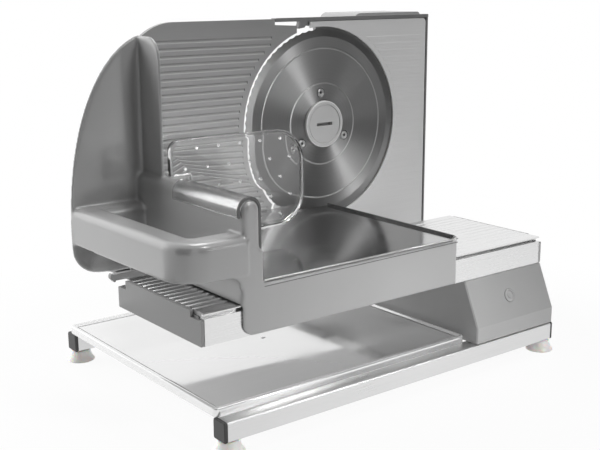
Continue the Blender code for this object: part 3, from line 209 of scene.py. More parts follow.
@dataclass(frozen=True)
class Finish:
    """A real material and how its surface was made."""

    name: str
    colour: str
    roughness: float
    metallic: float = 0.0

    def start(self) -> Surface:
        """Makes the material with its shader and its real-size coordinates.

        Returns:
            The surface to build on.
        """
        made = blank(self.name)
        tree = made.node_tree
        shader = add_node(tree, "ShaderNodeBsdfPrincipled", {
            "Base Color": linear(self.colour), "Roughness": self.roughness, "Metallic": self.metallic})
        add_node(tree, "ShaderNodeOutputMaterial", {"Surface": shader.outputs[0]})
        return Surface(self, made, shader, add_node(tree, "ShaderNodeTexCoord").outputs["Object"])

    def dress(self) -> Material:
        """Builds the material."""
        return self.start().material


@dataclass(frozen=True)
class MouldedPlastic(Finish):
    """Injection-moulded ABS: an even satin skin with a fine spark grain and faint flow marks."""

    grain_mm: float = 0.7
    grain_depth_mm: float = 0.012
    flow_mm: float = 55.0
    ior: float = 1.53
    polish: float = 0.0
    polish_blur: float = 0.12
    polish_ior: float = 1.7

    def dress(self) -> Material:
        """Builds grain, flow marks and gloss that changes a little with handling.

        Returns:
            The material.
        """
        made = self.start()
        flow = made.noise(self.flow_mm, detail=3.0)
        made.tone(flow, spread=0.05)
        made.gloss(flow, less=0.05, more=0.06)
        made.relief(made.noise(self.grain_mm, detail=2.0), strength=0.35, depth_mm=self.grain_depth_mm)
        made.give({"IOR": self.ior, "Coat IOR": self.polish_ior})
        if self.polish:
            made.give({"Coat Weight": self.polish, "Coat Roughness": self.polish_blur})
        return made.material


@dataclass(frozen=True)
class DrawnAluminium(Finish):
    """Anodised aluminium extrusion: satin, with fine die lines along its length."""

    line_mm: float = 0.8
    line_depth_mm: float = 0.006
    line_share: float = 0.012
    bloom_mm: float = 60.0
    along: Axis = Axis.X
    depth_of_tone: float = 0.05

    def dress(self) -> Material:
        """Builds die lines that vary the tone, the gloss and the surface along one direction.

        Returns:
            The material.
        """
        made = self.start()
        lengthwise = made.mapped(self.along.drawn_out(self.line_share))
        lines = made.noise(self.line_mm, detail=4.0, at=lengthwise, Roughness=0.65)
        both = combine(made.material.node_tree, "ADD", lines, made.noise(self.bloom_mm, detail=2.0))
        made.tone(lines, self.depth_of_tone)
        made.gloss(both, less=0.06, more=0.08, low=0.4, high=1.6)
        made.relief(lines, strength=0.4, depth_mm=self.line_depth_mm)
        return made.material


@dataclass(frozen=True)
class GroundSteel(Finish):
    """Stainless steel ground while it turned: fine rings round the axis, and a highlight that fans out."""

    ring_mm: float = 0.55
    ring_depth_mm: float = 0.004
    grain: float = 0.97
    quarter_turn: float = 0.25
    axis: Axis = Axis.Y

    def dress(self) -> Material:
        """Builds the rings from the distance to the blade axis, and the turning direction.

        Returns:
            The material.
        """
        made = self.start()
        across = made.mapped((1, 0, 1), tuple(-BLADE_AXIS))
        reach = made.node("ShaderNodeVectorMath", {0: across}, operation="LENGTH")
        ring = made.node("ShaderNodeTexNoise", {
            "W": reach.outputs["Value"], "Scale": 1 / (self.ring_mm * MM), "Detail": 3.0},
            noise_dimensions="1D").outputs["Fac"]
        made.tone(ring, spread=0.10)
        made.gloss(ring, less=0.05, more=0.07)
        made.relief(ring, strength=0.06, depth_mm=self.ring_depth_mm)
        turning = made.node("ShaderNodeTangent", direction_type="RADIAL", axis=self.axis.name)
        made.feed("Tangent", turning.outputs[0])
        made.give({"Anisotropic": self.grain, "Anisotropic Rotation": self.quarter_turn})
        return made.material


@dataclass(frozen=True)
class PolishedSheet(Finish):
    """Bright-rolled stainless sheet: a near mirror with long faint rolling lines and wipe marks."""

    rolling_mm: float = 1.6
    rolling_depth_mm: float = 0.003
    rolling_share: float = 0.02
    wipe_mm: float = 35.0
    along: Axis = Axis.X

    def dress(self) -> Material:
        """Builds rolling lines, and cloudy wipe marks in the gloss.

        Returns:
            The material.
        """
        made = self.start()
        lengthwise = made.mapped(self.along.drawn_out(self.rolling_share))
        lines = made.noise(self.rolling_mm, detail=4.0, at=lengthwise)
        made.tone(lines, spread=0.03)
        made.gloss(made.noise(self.wipe_mm, detail=5.0), less=0.03, more=0.05, low=0.3, high=0.7)
        made.relief(lines, strength=0.2, depth_mm=self.rolling_depth_mm)
        return made.material


@dataclass(frozen=True)
class ClearPlastic(Finish):
    """Clear injection-moulded styrene: glassy, bright at its edges, with faint ripples."""

    ior: float = 1.57
    ripple_mm: float = 18.0
    ripple_depth_mm: float = 0.05

    def dress(self) -> Material:
        """Builds the glassy body and its faint ripples.

        Returns:
            The material.
        """
        made = self.start()
        made.relief(made.noise(self.ripple_mm, detail=1.0), strength=0.2, depth_mm=self.ripple_depth_mm)
        made.give({"Transmission Weight": 1.0, "IOR": self.ior})
        return made.material


@dataclass(frozen=True)
class MilkyPlastic(Finish):
    """Soft milky vinyl: light soaks in and comes out again."""

    ior: float = 1.5
    cloud_mm: float = 6.0
    soak: float = 0.4
    soak_mm: float = 4.0

    def dress(self) -> Material:
        """Builds the cloudy body and its soft gloss.

        Returns:
            The material.
        """
        made = self.start()
        made.tone(made.noise(self.cloud_mm, detail=2.0), spread=0.04)
        made.give({"Subsurface Weight": self.soak, "Subsurface Scale": self.soak_mm * MM, "IOR": self.ior})
        return made.material


@cache
def coat(finish: Finish) -> Material:
    """Builds a finish's material once, however many pieces wear it."""
    return finish.dress()


RAIL = DrawnAluminium("anodised_aluminium_rail", "#d9d9d9", 0.30, 1.0)
BENCH = DrawnAluminium("anodised_aluminium_bench", "#e0e0e0", 0.26, 1.0, line_mm=1.0)
FRAME = DrawnAluminium("lacquered_aluminium_frame", "#8c8c8c", 0.42, 0.4, line_mm=0.6)
COVER = DrawnAluminium("satin_aluminium_cover", "#e8e8e8", 0.42, 0.15, line_mm=0.7)
STOP = DrawnAluminium("lacquered_aluminium_stop", "#a4a4a4", 0.40, 0.4, line_mm=0.7)
TRAY = PolishedSheet("rolled_stainless_tray", "#f0f0f0", 0.09, 0.7)
DECK = PolishedSheet("rolled_stainless_deck", "#b0b0b0", 0.13, 1.0, rolling_mm=0.9)
BLADE = GroundSteel("ground_stainless_blade", "#909090", 0.44, 1.0)
# Darker copy of the tray's steel, painted as the shade in the fold along the tray's rim.
PAINTED_FOLD_SHADE = PolishedSheet("painted_shade_tray_fold", "#484848", 0.3, 0.8)
BEVEL = PolishedSheet("honed_stainless_bevel", "#8e8e8e", 0.32, 1.0, rolling_mm=0.6)
# Lighter copy of the blade's steel, painted as thin highlights along the scribed ring and the hub step.
PAINTED_HIGHLIGHT_RINGS = PolishedSheet("painted_highlight_ring_steel", "#b4b4b4", 0.32, 0.9, rolling_mm=0.6)
SCREW = GroundSteel("turned_stainless_screw", "#c8c8c8", 0.3, 1.0)
SHAFT = GroundSteel("turned_steel_shaft", "#a0a0a0", 0.28, 1.0)
ZINC = DrawnAluminium("zinc_plated_sheet", "#b5b5b5", 0.4, 0.9, line_mm=2.0)
BRONZE = GroundSteel("turned_bearing_bronze", "#a8845a", 0.35, 1.0)
HOUSING = MouldedPlastic("moulded_abs_housing", "#a6a6a6", 0.34, polish=0.3)
CARRIAGE = MouldedPlastic("moulded_abs_carriage", "#9e9e9e", 0.34, polish=0.85, polish_blur=0.16)
BENCH_CAP = MouldedPlastic("moulded_abs_bench_cap", "#8d8d8d", 0.42)
REAR = MouldedPlastic("moulded_abs_rear_housing", "#b0b0b0", 0.42)
LOCK = MouldedPlastic("moulded_abs_lock_cap", "#cacaca", 0.36, grain_mm=0.5)
# Near-white plastic painted on the lock cap's outer rim as its highlight.
PAINTED_HIGHLIGHT_LOCK_RIM = MouldedPlastic("painted_highlight_lock_rim", "#f2f2f2", 0.3, polish=0.6)
GEAR = MouldedPlastic("moulded_acetal_gear", "#d8d6cf", 0.35)
BLACK = MouldedPlastic("moulded_black_abs", "#333333", 0.45)
CLEAR = ClearPlastic("clear_styrene", "#f4f4f4", 0.03)
SLEEVE = ClearPlastic("worn_clear_styrene", "#d4d4d4", 0.16)
# Dark styrene standing in for the shade seen at the clear sleeve's front end: painted shade.
PAINTED_EDGE_SHADE = MouldedPlastic("painted_shade_styrene_edge", "#3c3c3c", 0.18, polish=0.5)
FOOT = MilkyPlastic("milky_vinyl", "#efefec", 0.32)

FEET: dict[str, Flat] = {
    f"suction_foot_{end}_{side}": (x, y)
    for end, y in (("front", -174.6), ("rear", 53.8)) for side, x in (("left", -224.1), ("right", 103.5))}

CAD_FINISHES: dict[Finish, tuple[str, ...]] = {
    RAIL: ("front_rail", "rear_rail"),
    BENCH: ("bench_extrusion",),
    FRAME: ("blade_frame", "guide_beam"),
    COVER: ("cover_plate",),
    STOP: ("stop_plate",),
    TRAY: ("drip_tray",),
    DECK: ("carriage_floor",),
    ZINC: ("housing_base_plate", "motor"),
    BLADE: ("blade",),
    SCREW: ("blade_screw_1", "blade_screw_2", "blade_screw_3"),
    SHAFT: ("worm_spindle", "blade_shaft", "stop_rod_left", "stop_rod_right"),
    BRONZE: ("bearing_bush",),
    BENCH_CAP: ("bench_cap_left",),
    HOUSING: ("bench_cap_right", "motor_housing", "switch_button"),
    REAR: ("rear_housing",),
    CARRIAGE: ("carriage_body",),
    LOCK: ("blade_lock_cap",),
    GEAR: ("worm_wheel",),
    CLEAR: ("leftover_holder", "holder_plate"),
    FOOT: tuple(FEET),
    BLACK: ("front_rail_cap_left", "front_rail_cap_right", "rear_rail_cap_left", "rear_rail_cap_right",
            "switch_body", "cable_gland", "worm_bearing", "stop_guide_block", "thickness_knob"),
}

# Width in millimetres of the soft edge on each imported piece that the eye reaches
SOFT_EDGES: dict[str, float] = {
    "front_rail": 0.5, "rear_rail": 0.5, "bench_cap_left": 0.6, "bench_cap_right": 0.6, "motor_housing": 1.0,
    "blade_frame": 0.3, "cover_plate": 0.15, "stop_plate": 0.2, "rear_housing": 0.8, "bench_extrusion": 0.2,
}


def round_edges(piece: Object, width: float, segments: int = 2, sharper: float = 40.0) -> None:
    """Rounds a piece's sharp edges.

    Args:
        piece: The piece.
        width: Width of the round in millimetres.
        segments: Facets across the round.
        sharper: Edges that bend by less than this many degrees stay as they are.
    """
    soft = piece.modifiers.new("soft_edge", "BEVEL")
    soft.width = width * MM
    soft.segments = segments
    soft.limit_method = "ANGLE"
    soft.angle_limit = radians(sharper)
    soft.harden_normals = True


@dataclass
class CadDressing:
    """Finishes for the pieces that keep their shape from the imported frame."""

    finishes: dict[Finish, tuple[str, ...]]
    edges: dict[str, float]
    finest: float = 1.0
    blend_share: float = 0.5
    blend_rounds: int = 12
    faces_kept: float = 0.35
    nearly_flat: float = 0.6
    sharper: float = 38.0

    def dress(self) -> None:
        """Gives every node its material, and softens the edges that the eye can reach."""
        for finish, nodes in self.finishes.items():
            for node in nodes:
                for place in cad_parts[node].material_slots:
                    place.material = coat(finish)
                LOG.info("dressed %s in %s", node, finish.name)
        for node, width in self.edges.items():
            self.soften(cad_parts[node], width)
        self.blend(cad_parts["carriage_body"])

    def blend(self, piece: Object) -> None:
        """Gives a moulding the small blends that a mould has in every corner.

        Args:
            piece: The node's object.
        """
        skin = piece.modifiers.new("one_skin", "REMESH")
        skin.mode = "VOXEL"
        skin.voxel_size = self.finest * MM
        skin.use_smooth_shade = True
        flow = piece.modifiers.new("mould_blends", "SMOOTH")
        flow.factor = self.blend_share
        flow.iterations = self.blend_rounds
        lean = piece.modifiers.new("fewer_faces", "DECIMATE")
        lean.ratio = self.faces_kept

    def soften(self, piece: Object, width: float) -> None:
        """Joins a piece's flat faces and rounds its sharp edges.

        Args:
            piece: The node's object.
            width: Width of the round in millimetres.
        """
        flat = piece.modifiers.new("flat_faces", "DECIMATE")
        flat.decimate_type = "DISSOLVE"
        flat.angle_limit = radians(self.nearly_flat)
        round_edges(piece, width, sharper=self.sharper)


# Shapes, in millimetres from the middle of the blade's front face


@dataclass
class Maker:
    """Turns millimetre points round the blade axis into pieces of the model."""

    def piece(self, name: str, shape: Shape, finish: Finish, body: str, smooth: float = 35.0) -> Object:
        """Makes one piece and lets it ride on a body.

        Args:
            name: The piece's name.
            shape: Corners in millimetres from the blade's middle, and the corner numbers of each face.
            finish: The piece's finish.
            body: The body that carries it.
            smooth: Edges sharper than this many degrees stay crisp.

        Returns:
            The new piece.
        """
        points, faces = shape
        mesh = bpy.data.meshes.new(name)
        mesh.from_pydata([BLADE_AXIS + Vector(p) * MM for p in points], [], faces)
        shell = bmesh.new()
        shell.from_mesh(mesh)
        bmesh.ops.remove_doubles(shell, verts=shell.verts, dist=0.002 * MM)
        bmesh.ops.recalc_face_normals(shell, faces=shell.faces)
        shell.to_mesh(mesh)
        shell.free()
        mesh.materials.append(coat(finish))
        mesh.shade_smooth()
        mesh.set_sharp_from_angle(angle=radians(smooth))
        made = bpy.data.objects.new(name, mesh)
        bpy.context.scene.collection.objects.link(made)
        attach(made, body)
        LOG.info("made %s on %s", name, body)
        return made

    def tint(self, piece: Object, finish: Finish, chosen: Callable[[MeshPolygon, Vector], bool]) -> None:
        """Gives some faces of a piece another finish.

        Args:
            piece: The piece.
            finish: The finish of the chosen faces.
            chosen: Picks faces, each with its middle in millimetres from the blade's middle.
        """
        piece.data.materials.append(coat(finish))
        for side in piece.data.polygons:
            if chosen(side, (side.center - BLADE_AXIS) / MM):
                side.material_index = len(piece.data.materials) - 1

    def cut(self, piece: Object, name: str, shape: Shape, finish: Finish, body: str) -> None:
        """Cuts a shape out of a piece for good.

        Args:
            piece: The piece.
            name: The cut's name.
            shape: Points and faces of what is taken away.
            finish: The finish of the cut.
            body: The body that carries the piece.
        """
        cutter = self.piece(name, shape, finish, body)
        gone = piece.modifiers.new(name, "BOOLEAN")
        gone.operation = "DIFFERENCE"
        gone.object = cutter
        fixed = bpy.data.meshes.new_from_object(piece.evaluated_get(bpy.context.evaluated_depsgraph_get()))
        piece.modifiers.clear()
        piece.data = fixed
        bpy.data.objects.remove(cutter, do_unlink=True)

    def turn(self, steps: int) -> list[float]:
        """Lists the even angles of one turn in radians."""
        return [2 * pi * k / steps for k in range(steps)]

    def rings(self, loops: list[list[Point]], closed: bool = False) -> Shape:
        """Skins loops of equal length one after the other.

        Args:
            loops: Rings of points.
            closed: Joins the last ring to the first in place of capping both.

        Returns:
            Points and faces.
        """
        n = len(loops[0])
        points = [p for loop in loops for p in loop]
        faces: list[tuple[int, ...]] = []
        pairs = list(zip(range(len(loops)), range(1, len(loops))))
        if closed:
            pairs.append((len(loops) - 1, 0))
        for a, b in pairs:
            faces += [(a * n + i, a * n + (i + 1) % n, b * n + (i + 1) % n, b * n + i) for i in range(n)]
        if not closed:
            faces.append(tuple(range(n)))
            faces.append(tuple(range((len(loops) - 1) * n, len(loops) * n)))
        return points, faces

    def lathe(self, profile: list[Flat], steps: int, centre: Point = (0, 0, 0), axis: Axis = Axis.Y) -> Shape:
        """Turns a profile of (radius, distance along the axis) round an axis.

        Args:
            profile: Open profile from the axis out and back to the axis.
            steps: Facets round the axis.
            centre: A point on the axis.
            axis: Y for pieces on the blade's axis, Z for upright ones.

        Returns:
            Points and faces.
        """
        points: list[Point] = []
        for r, h in profile:
            for a in self.turn(steps):
                c, s = r * cos(a), r * sin(a)
                x, y, z = (c, s, h) if axis is Axis.Z else (c, h, s)
                points.append((centre[0] + x, centre[1] + y, centre[2] + z))
        faces = [(j * steps + i, j * steps + (i + 1) % steps, (j + 1) * steps + (i + 1) % steps, (j + 1) * steps + i)
                 for j in range(len(profile) - 1) for i in range(steps)]
        return points, faces

    def outline(self, corners: list[tuple[float, float, float]], segments: int) -> list[Flat]:
        """Rounds the corners of a closed outline.

        Args:
            corners: Corners as (u, v, radius).
            segments: Facets at each corner, the same at every one.

        Returns:
            The outline's points.
        """
        done: list[Flat] = []
        for i, (u, v, radius) in enumerate(corners):
            r = max(radius, SMALLEST_ROUND)
            here = Vector((u, v))
            back = (Vector(corners[i - 1][:2]) - here).normalized()
            on = (Vector(corners[(i + 1) % len(corners)][:2]) - here).normalized()
            half = back.angle(on) / 2
            reach = r / tan(half)
            middle = here + (back + on).normalized() * r / sin(half)
            first, last = here + back * reach, here + on * reach
            a0 = atan2(first.y - middle.y, first.x - middle.x)
            bend = atan2(last.y - middle.y, last.x - middle.x) - a0
            bend = (bend + pi) % (2 * pi) - pi
            for k in range(segments + 1):
                a = a0 + bend * k / segments
                done.append((middle.x + r * cos(a), middle.y + r * sin(a)))
        return done


@dataclass
class BladeUnit(Maker):
    """Ground round blade with a waved edge, three countersunk screws and a coin-slot cap."""

    radius: float = 85.0
    bore: float = 8.0
    waves: int = 72
    wave_depth: float = 0.8
    bevel: float = 7.0
    hub_ring: float = 36.5
    outer_ring: float = 68.0
    # Half width of the painted highlight band at each ring
    scribe: float = 0.6
    hollow: float = 0.27
    bevel_start: float = 0.33
    edge_back: float = 0.22
    thickness: float = 1.2
    screw_circle: float = 28.5
    screw_angles: tuple[float, ...] = (94.0, 214.0, 334.0)
    # Radius within which the recess is painted black as shade
    recess: float = 1.32
    cap_radius: float = 21.15
    cap_highlight_width: float = 1.6

    def build(self) -> None:
        """Builds blade, screws and cap."""
        places = [(self.screw_circle * cos(a), 0.0, self.screw_circle * sin(a))
                  for a in map(radians, self.screw_angles)]
        self.blade(places)
        for number, at in enumerate(places, 1):
            self.screw(number, at)
        self.cap()

    def blade(self, screws: list[Point]) -> None:
        """Builds the disc: hub step, scribed ring, hollow-ground face, bevel, scalloped edge and countersinks, with
        painted highlights along the scribed ring and the hub step.

        Args:
            screws: The screws' middles.
        """
        t, hub, ring, low = self.thickness, self.hub_ring, self.outer_ring, self.hollow
        root = self.radius - self.bevel
        face = [(self.bore, 0.0), (hub - 1.0, 0.0), (hub - 0.4, 0.0), (hub, 0.10), (hub + 0.5, 0.26),
                (hub + 0.9, low), (hub + 1.6, low), (ring - 1.3, low), (ring - 0.7, low), (ring - 0.3, 0.14),
                (ring + 0.3, 0.14), (ring + 0.7, low), (ring + 1.3, low), (root - 0.8, low), (root - 0.2, low),
                (root + 0.2, 0.31)]
        angles = self.turn(self.waves * 10)
        loops = [[(r * cos(a), y, r * sin(a)) for a in angles] for r, y in face]
        fall = t - self.edge_back - self.bevel_start
        for share in (0.35, 0.7, 0.9, 1.0):
            loops.append([self.edge(a, share, self.bevel_start + fall * share) for a in angles])
        loops.append([self.edge(a, 1.0, t) for a in angles])
        loops += [[(r * cos(a), t, r * sin(a)) for a in angles] for r in (root, self.bore)]
        made = self.piece("ground_blade", self.rings(loops, closed=True), BLADE, "blade_unit", 30)
        self.tint(made, BEVEL, lambda _, at: hypot(at.x, at.z) > root and at.y < t - 0.2)
        # Paints a thin highlight band on both sides of the scribed ring and the hub step.
        self.tint(made, PAINTED_HIGHLIGHT_RINGS, lambda _, at: self.scribe > min(
            abs(hypot(at.x, at.z) - scribed) for scribed in (ring, hub + 0.2)))
        for at in screws:
            sink = [(0.0, -0.5), (4.5, -0.5), (4.5, 0.05), (4.2, 0.4), (3.6, 1.14), (0.0, 1.14)]
            self.cut(made, "screw_countersink", self.lathe(sink, 40, at), BLADE, "blade_unit")
        made.data.set_sharp_from_angle(angle=radians(25))
        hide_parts("blade")

    def edge(self, angle: float, share: float, y: float) -> Point:
        """Places a point of the bevel, whose outer part follows the waves.

        Args:
            angle: Angle round the axis.
            share: 0 at the bevel's root and 1 at its edge.
            y: Distance behind the front face.

        Returns:
            The point.
        """
        scallop = self.wave_depth * abs(sin(self.waves * angle / 2)) ** 1.3
        r = self.radius - self.bevel + (self.bevel - scallop * share ** 2) * share
        return (r * cos(angle), y, r * sin(angle))

    def screw(self, number: int, at: Point) -> None:
        """Builds a countersunk screw with a six-lobed recess, whose inside is painted black as shade.

        Args:
            number: The screw's number.
            at: The middle of its head.
        """
        rounds = ((0.0, 0.95, 0.0), (0.9, 0.85, 0.25), (1.15, 0.3, 0.3), (1.3, 0.12, 0.3), (3.2, 0.1, 0.0),
                  (3.6, 0.16, 0.0), (1.7, 1.1, 0.0), (0.0, 1.1, 0.0))
        loops = [[(at[0] + (r + star * cos(6 * a)) * cos(a), y,
                   at[2] + (r + star * cos(6 * a)) * sin(a)) for a in self.turn(48)] for r, y, star in rounds]
        made = self.piece(f"blade_screw_head_{number}", self.rings(loops), SCREW, "blade_unit", 35)
        # Paints the recess's walls and floor black, as the shade inside it.
        self.tint(made, BLACK, lambda _, m: hypot(m.x - at[0], m.z - at[2]) < self.recess and m.y > 0.1)
        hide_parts(f"blade_screw_{number}")

    def cap(self) -> None:
        """Builds the lock cap: soft rim with a painted highlight, sunk field, groove and coin slot."""
        r = self.cap_radius
        profile = [(0, -3.0), (r - 4.0, -3.0), (r - 3.85, -2.6), (r - 3.45, -2.6), (r - 3.3, -3.3), (r - 2.9, -3.4),
                   (r - 0.9, -3.4), (r - 0.3, -3.15), (r, -2.5), (r, -0.35), (7.7, -0.35), (7.7, 8.5), (0, 8.5)]
        made = self.piece("lock_cap", self.lathe(profile, 96), LOCK, "lock_cap", 32)
        # Paints a highlight on the outer rim of the cap's face.
        self.tint(made, PAINTED_HIGHLIGHT_LOCK_RIM, lambda _, at: hypot(at.x, at.z) > r - self.cap_highlight_width and at.y < -1.5)
        slot = self.outline([(-9, -1.5, 0.8), (9, -1.5, 0.8), (9, 1.5, 0.8), (-9, 1.5, 0.8)], 5)
        well = self.rings([[(x, y, z) for x, z in slot] for y in (-4.0, 2.0)])
        self.cut(made, "lock_slot_cutter", well, LOCK, "lock_cap")
        round_edges(made, 0.18)
        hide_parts("blade_lock_cap")


@dataclass
class StopPlate(Maker):
    """Lacquered plate with sunk grooves, a round cut beside the blade and its nut behind."""

    left: float = -201.2
    top: float = 94.6
    bottom: float = -98.0
    right: float = -50.0
    corner: float = 47.8
    cut_radius: float = 87.1
    horn: float = -29.0
    notch: float = 88.4
    notch_edge: float = -52.8
    face: float = -0.3
    back: float = 4.0
    first_groove: float = 78.9
    pitch: float = 6.1
    groove: float = 2.9
    slope: float = 1.0
    depth: float = 0.8
    grooves: int = 28
    margin: float = 8.0
    first_margin: float = 10.0
    cut_margin: float = 5.5
    groove_right: float = -56.0
    hair: float = 0.02
    row: float = 1.4
    least_row: float = 0.3
    nut: Point = (-145, 0, -80)

    def left_edge(self, z: float) -> float:
        """Gives the plate's left edge at a height."""
        rise = max(z - (self.top - self.corner), 0)
        return self.left + self.corner - sqrt(max(self.corner**2 - rise**2, 0))

    def cut_height(self, x: float) -> float:
        """Gives how far above and below the blade's axis the round cut reaches at a place across."""
        return sqrt(self.cut_radius**2 - x**2)

    def right_edge(self, z: float) -> float:
        """Gives the plate's right edge at a height.

        Args:
            z: The height.

        Returns:
            The edge's place across.
        """
        if z > self.notch:
            return self.notch_edge
        if z > self.cut_height(self.horn):
            return self.horn
        if z < -self.cut_height(self.right):
            return self.right
        return -sqrt(self.cut_radius**2 - z * z)

    def levels(self) -> list[tuple[float, bool]]:
        """Finds the heights at which the plate's face changes.

        Returns:
            Heights from the top down, each with whether a groove lies below it.
        """
        cut_end = -self.cut_height(self.right)
        marks = {self.top, self.bottom, self.notch, self.notch - self.hair, self.cut_height(self.horn),
                 cut_end, cut_end - self.hair}
        z = self.bottom
        while z < self.top:
            marks.add(round(z, 3))
            z += self.row
        marks |= {self.top - d for d in (0.02, 0.1, 0.3, 0.7, 1.4, 2.4, 3.8)}
        edges: set[float] = set()
        for k in range(self.grooves):
            mid = self.first_groove - k * self.pitch
            high, low = mid + self.groove / 2, mid - self.groove / 2
            edges |= {high, high - self.slope, low + self.slope, low}
        kept = [m for m in marks if all(abs(m - e) > self.least_row for e in edges)]
        heights = sorted(kept + list(edges), reverse=True)
        out: list[tuple[float, bool]] = []
        for top, low in zip(heights, heights[1:] + [self.bottom - 1]):
            number, mid = self.nearest((top + low) / 2)
            out.append((top, 0 <= number < self.grooves and abs((top + low) / 2 - mid) < self.groove / 2))
        return out

    def nearest(self, z: float) -> tuple[int, float]:
        """Gives the number and the middle of the groove nearest to a height."""
        number = round((self.first_groove - z) / self.pitch)
        return number, self.first_groove - number * self.pitch

    def build(self) -> None:
        """Builds the grooved plate and the nut behind it."""
        points: list[Point] = []
        faces: list[tuple[int, ...]] = []

        def quad(*corners: Point) -> None:
            """Adds one face."""
            points.extend(corners)
            faces.append(tuple(range(len(points) - 4, len(points))))

        f, b = self.face, self.back
        rows = self.levels()
        for (z0, sunk), (z1, _) in zip(rows, rows[1:]):
            l0, l1, r0, r1 = self.left_edge(z0), self.left_edge(z1), self.right_edge(z0), self.right_edge(z1)
            quad((l0, b, z0), (r0, b, z0), (r1, b, z1), (l1, b, z1))
            quad((l0, f, z0), (l0, b, z0), (l1, b, z1), (l1, f, z1))
            quad((r0, f, z0), (r0, b, z0), (r1, b, z1), (r1, f, z1))
            if not sunk:
                quad((l0, f, z0), (r0, f, z0), (r1, f, z1), (l1, f, z1))
                continue
            number, mid = self.nearest((z0 + z1) / 2)
            y0, y1 = (f + self.depth * self.sink(z - mid) for z in (z0, z1))
            start = self.left + (self.margin if number else self.first_margin)
            end = min(-sqrt(max((self.cut_radius + self.cut_margin) ** 2 - mid * mid, 0)), self.groove_right)
            quad((l0, f, z0), (start, f, z0), (start, f, z1), (l1, f, z1))
            quad((start, y0, z0), (end, y0, z0), (end, y1, z1), (start, y1, z1))
            quad((end, f, z0), (r0, f, z0), (r1, f, z1), (end, f, z1))
            for x in (start, end):
                quad((x, f, z0), (x, y0, z0), (x, y1, z1), (x, f, z1))
        for z in (rows[0][0], rows[-1][0]):
            left, right = self.left_edge(z), self.right_edge(z)
            quad((left, f, z), (right, f, z), (right, b, z), (left, b, z))
        made = self.piece("grooved_stop_plate", (points, faces), STOP, "stop", 12)
        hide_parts("stop_plate")
        tube = [(3.1, 4.1), (6.2, 4.1), (6.2, 23.5), (5.8, 24.0), (3.1, 24.0), (3.1, 4.1)]
        boss = self.piece("stop_plate_nut", self.lathe(tube, 40, self.nut), STOP, "stop", 30)

    def sink(self, offset: float) -> float:
        """Gives how deep a groove is at a distance from its middle, from 0 to 1."""
        return min(1.0, max(0.0, (self.groove / 2 - abs(offset)) / self.slope))


@dataclass
class DripTray(Maker):
    """Bright steel tray: sunk floor, crowned rim, rolled skirt, a small dome rivet, and painted shade along the fold
    inside its rim.
    """

    left: float = -232.0
    right: float = 12.5
    front: float = -171.1
    rear: float = 57.0
    top: float = -158.2
    corner: float = 5.0
    least_corner: float = 0.8
    # Depths below the top between which the fold is painted in shade
    shade: Flat = (2.06, 1.8)
    rivet: Flat = (-118.8, -68.6)

    def loop(self, inset: float, drop: float) -> list[Point]:
        """Makes one ring of the tray's folded edge.

        Args:
            inset: Distance in from the tray's outside.
            drop: Distance down from its top.

        Returns:
            The ring's points.
        """
        r = max(self.corner - inset, self.least_corner)
        x0, x1, y0, y1 = self.left + inset, self.right - inset, self.front + inset, self.rear - inset
        flat = self.outline([(x0, y0, r), (x1, y0, r), (x1, y1, r), (x0, y1, r)], 8)
        return [(x, y, self.top - drop) for x, y in flat]

    def build(self) -> None:
        """Builds tray and rivet."""
        t = self.top
        profile = [(6.6, 1.6), (6.1, 1.66), (5.7, 1.86), (5.3, 2.02), (4.9, 2.04), (4.5, 1.92), (4.1, 1.66),
                   (3.8, 1.35), (3.55, 0.95), (3.3, 0.45), (3.0, 0.12), (2.5, 0), (1.4, 0), (0.8, 0.12), (0.35, 0.45),
                   (0.08, 1.0), (0.0, 1.8), (0.0, 6.1), (0.15, 6.5), (0.45, 6.6), (0.75, 6.4), (0.8, 6.0), (0.8, 1.9),
                   (1.1, 1.0), (1.7, 0.8), (2.4, 0.8), (2.8, 1.4), (3.2, 2.2), (4.0, 2.5), (6.6, 2.5)]
        made = self.piece("folded_tray", self.rings([self.loop(i, d) for i, d in profile]), TRAY, "tray", 50)
        # Paints shade on the fold inside the rim: faces facing up between these depths get the darker steel.
        deep, shallow = self.shade
        self.tint(made, PAINTED_FOLD_SHADE, lambda side, at: side.normal.z > 0.2 and t - deep < at.z < t - shallow)
        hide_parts("drip_tray")
        dome = [(2.2 * cos(a), t - 1.6 + 0.9 * sin(a)) for a in (0, 0.4, 0.8, 1.2)] + [(0.0, t - 0.7)]
        turned = self.lathe([(2.2, t - 1.7)] + dome, 24, (*self.rivet, 0), Axis.Z)
        stud = self.piece("tray_rivet", turned, TRAY, "tray", 60)


@dataclass
class DeckEdge(Maker):
    """Front edge of the deck: the steel floor's rolled bead, and a black line painted as the shade in the joint of the
    moulding under it.
    """

    left: float = -186.6
    right: float = 4.5
    front: float = -167.3
    top: float = -75.8
    bead: float = 0.6
    joint_left: float = -80.3
    joint_right: float = -78.9

    def build(self) -> None:
        """Builds bead and the joint's painted shade line on the carriage."""
        stations = [(self.right, 0.55), (self.right - 0.25, 0.9), (self.right - 0.6, 1.0), (self.left, 1.0)]
        loops = [self.section(x, self.front + 0.15, self.top - 0.05, self.bead * share, self.bead * share)
                 for x, share in stations]
        rolled = self.piece("floor_front_bead", self.rings(loops), SCREW, "carriage", 60)
        # A thin black tube along the joint, painted as the shade in its gap.
        loops = [self.section(x, self.front + 0.1, z, 0.2, 0.26)
                 for x, z in ((self.right, self.joint_right), (self.left, self.joint_left))]
        joint = self.piece("front_joint_painted_shade", self.rings(loops), BLACK, "carriage", 60)

    def section(self, x: float, y: float, z: float, deep: float, high: float) -> list[Point]:
        """Makes one oval section across the edge from its middle, half its depth and half its height."""
        return [(x, y + deep * cos(a), z + high * sin(a)) for a in self.turn(16)]


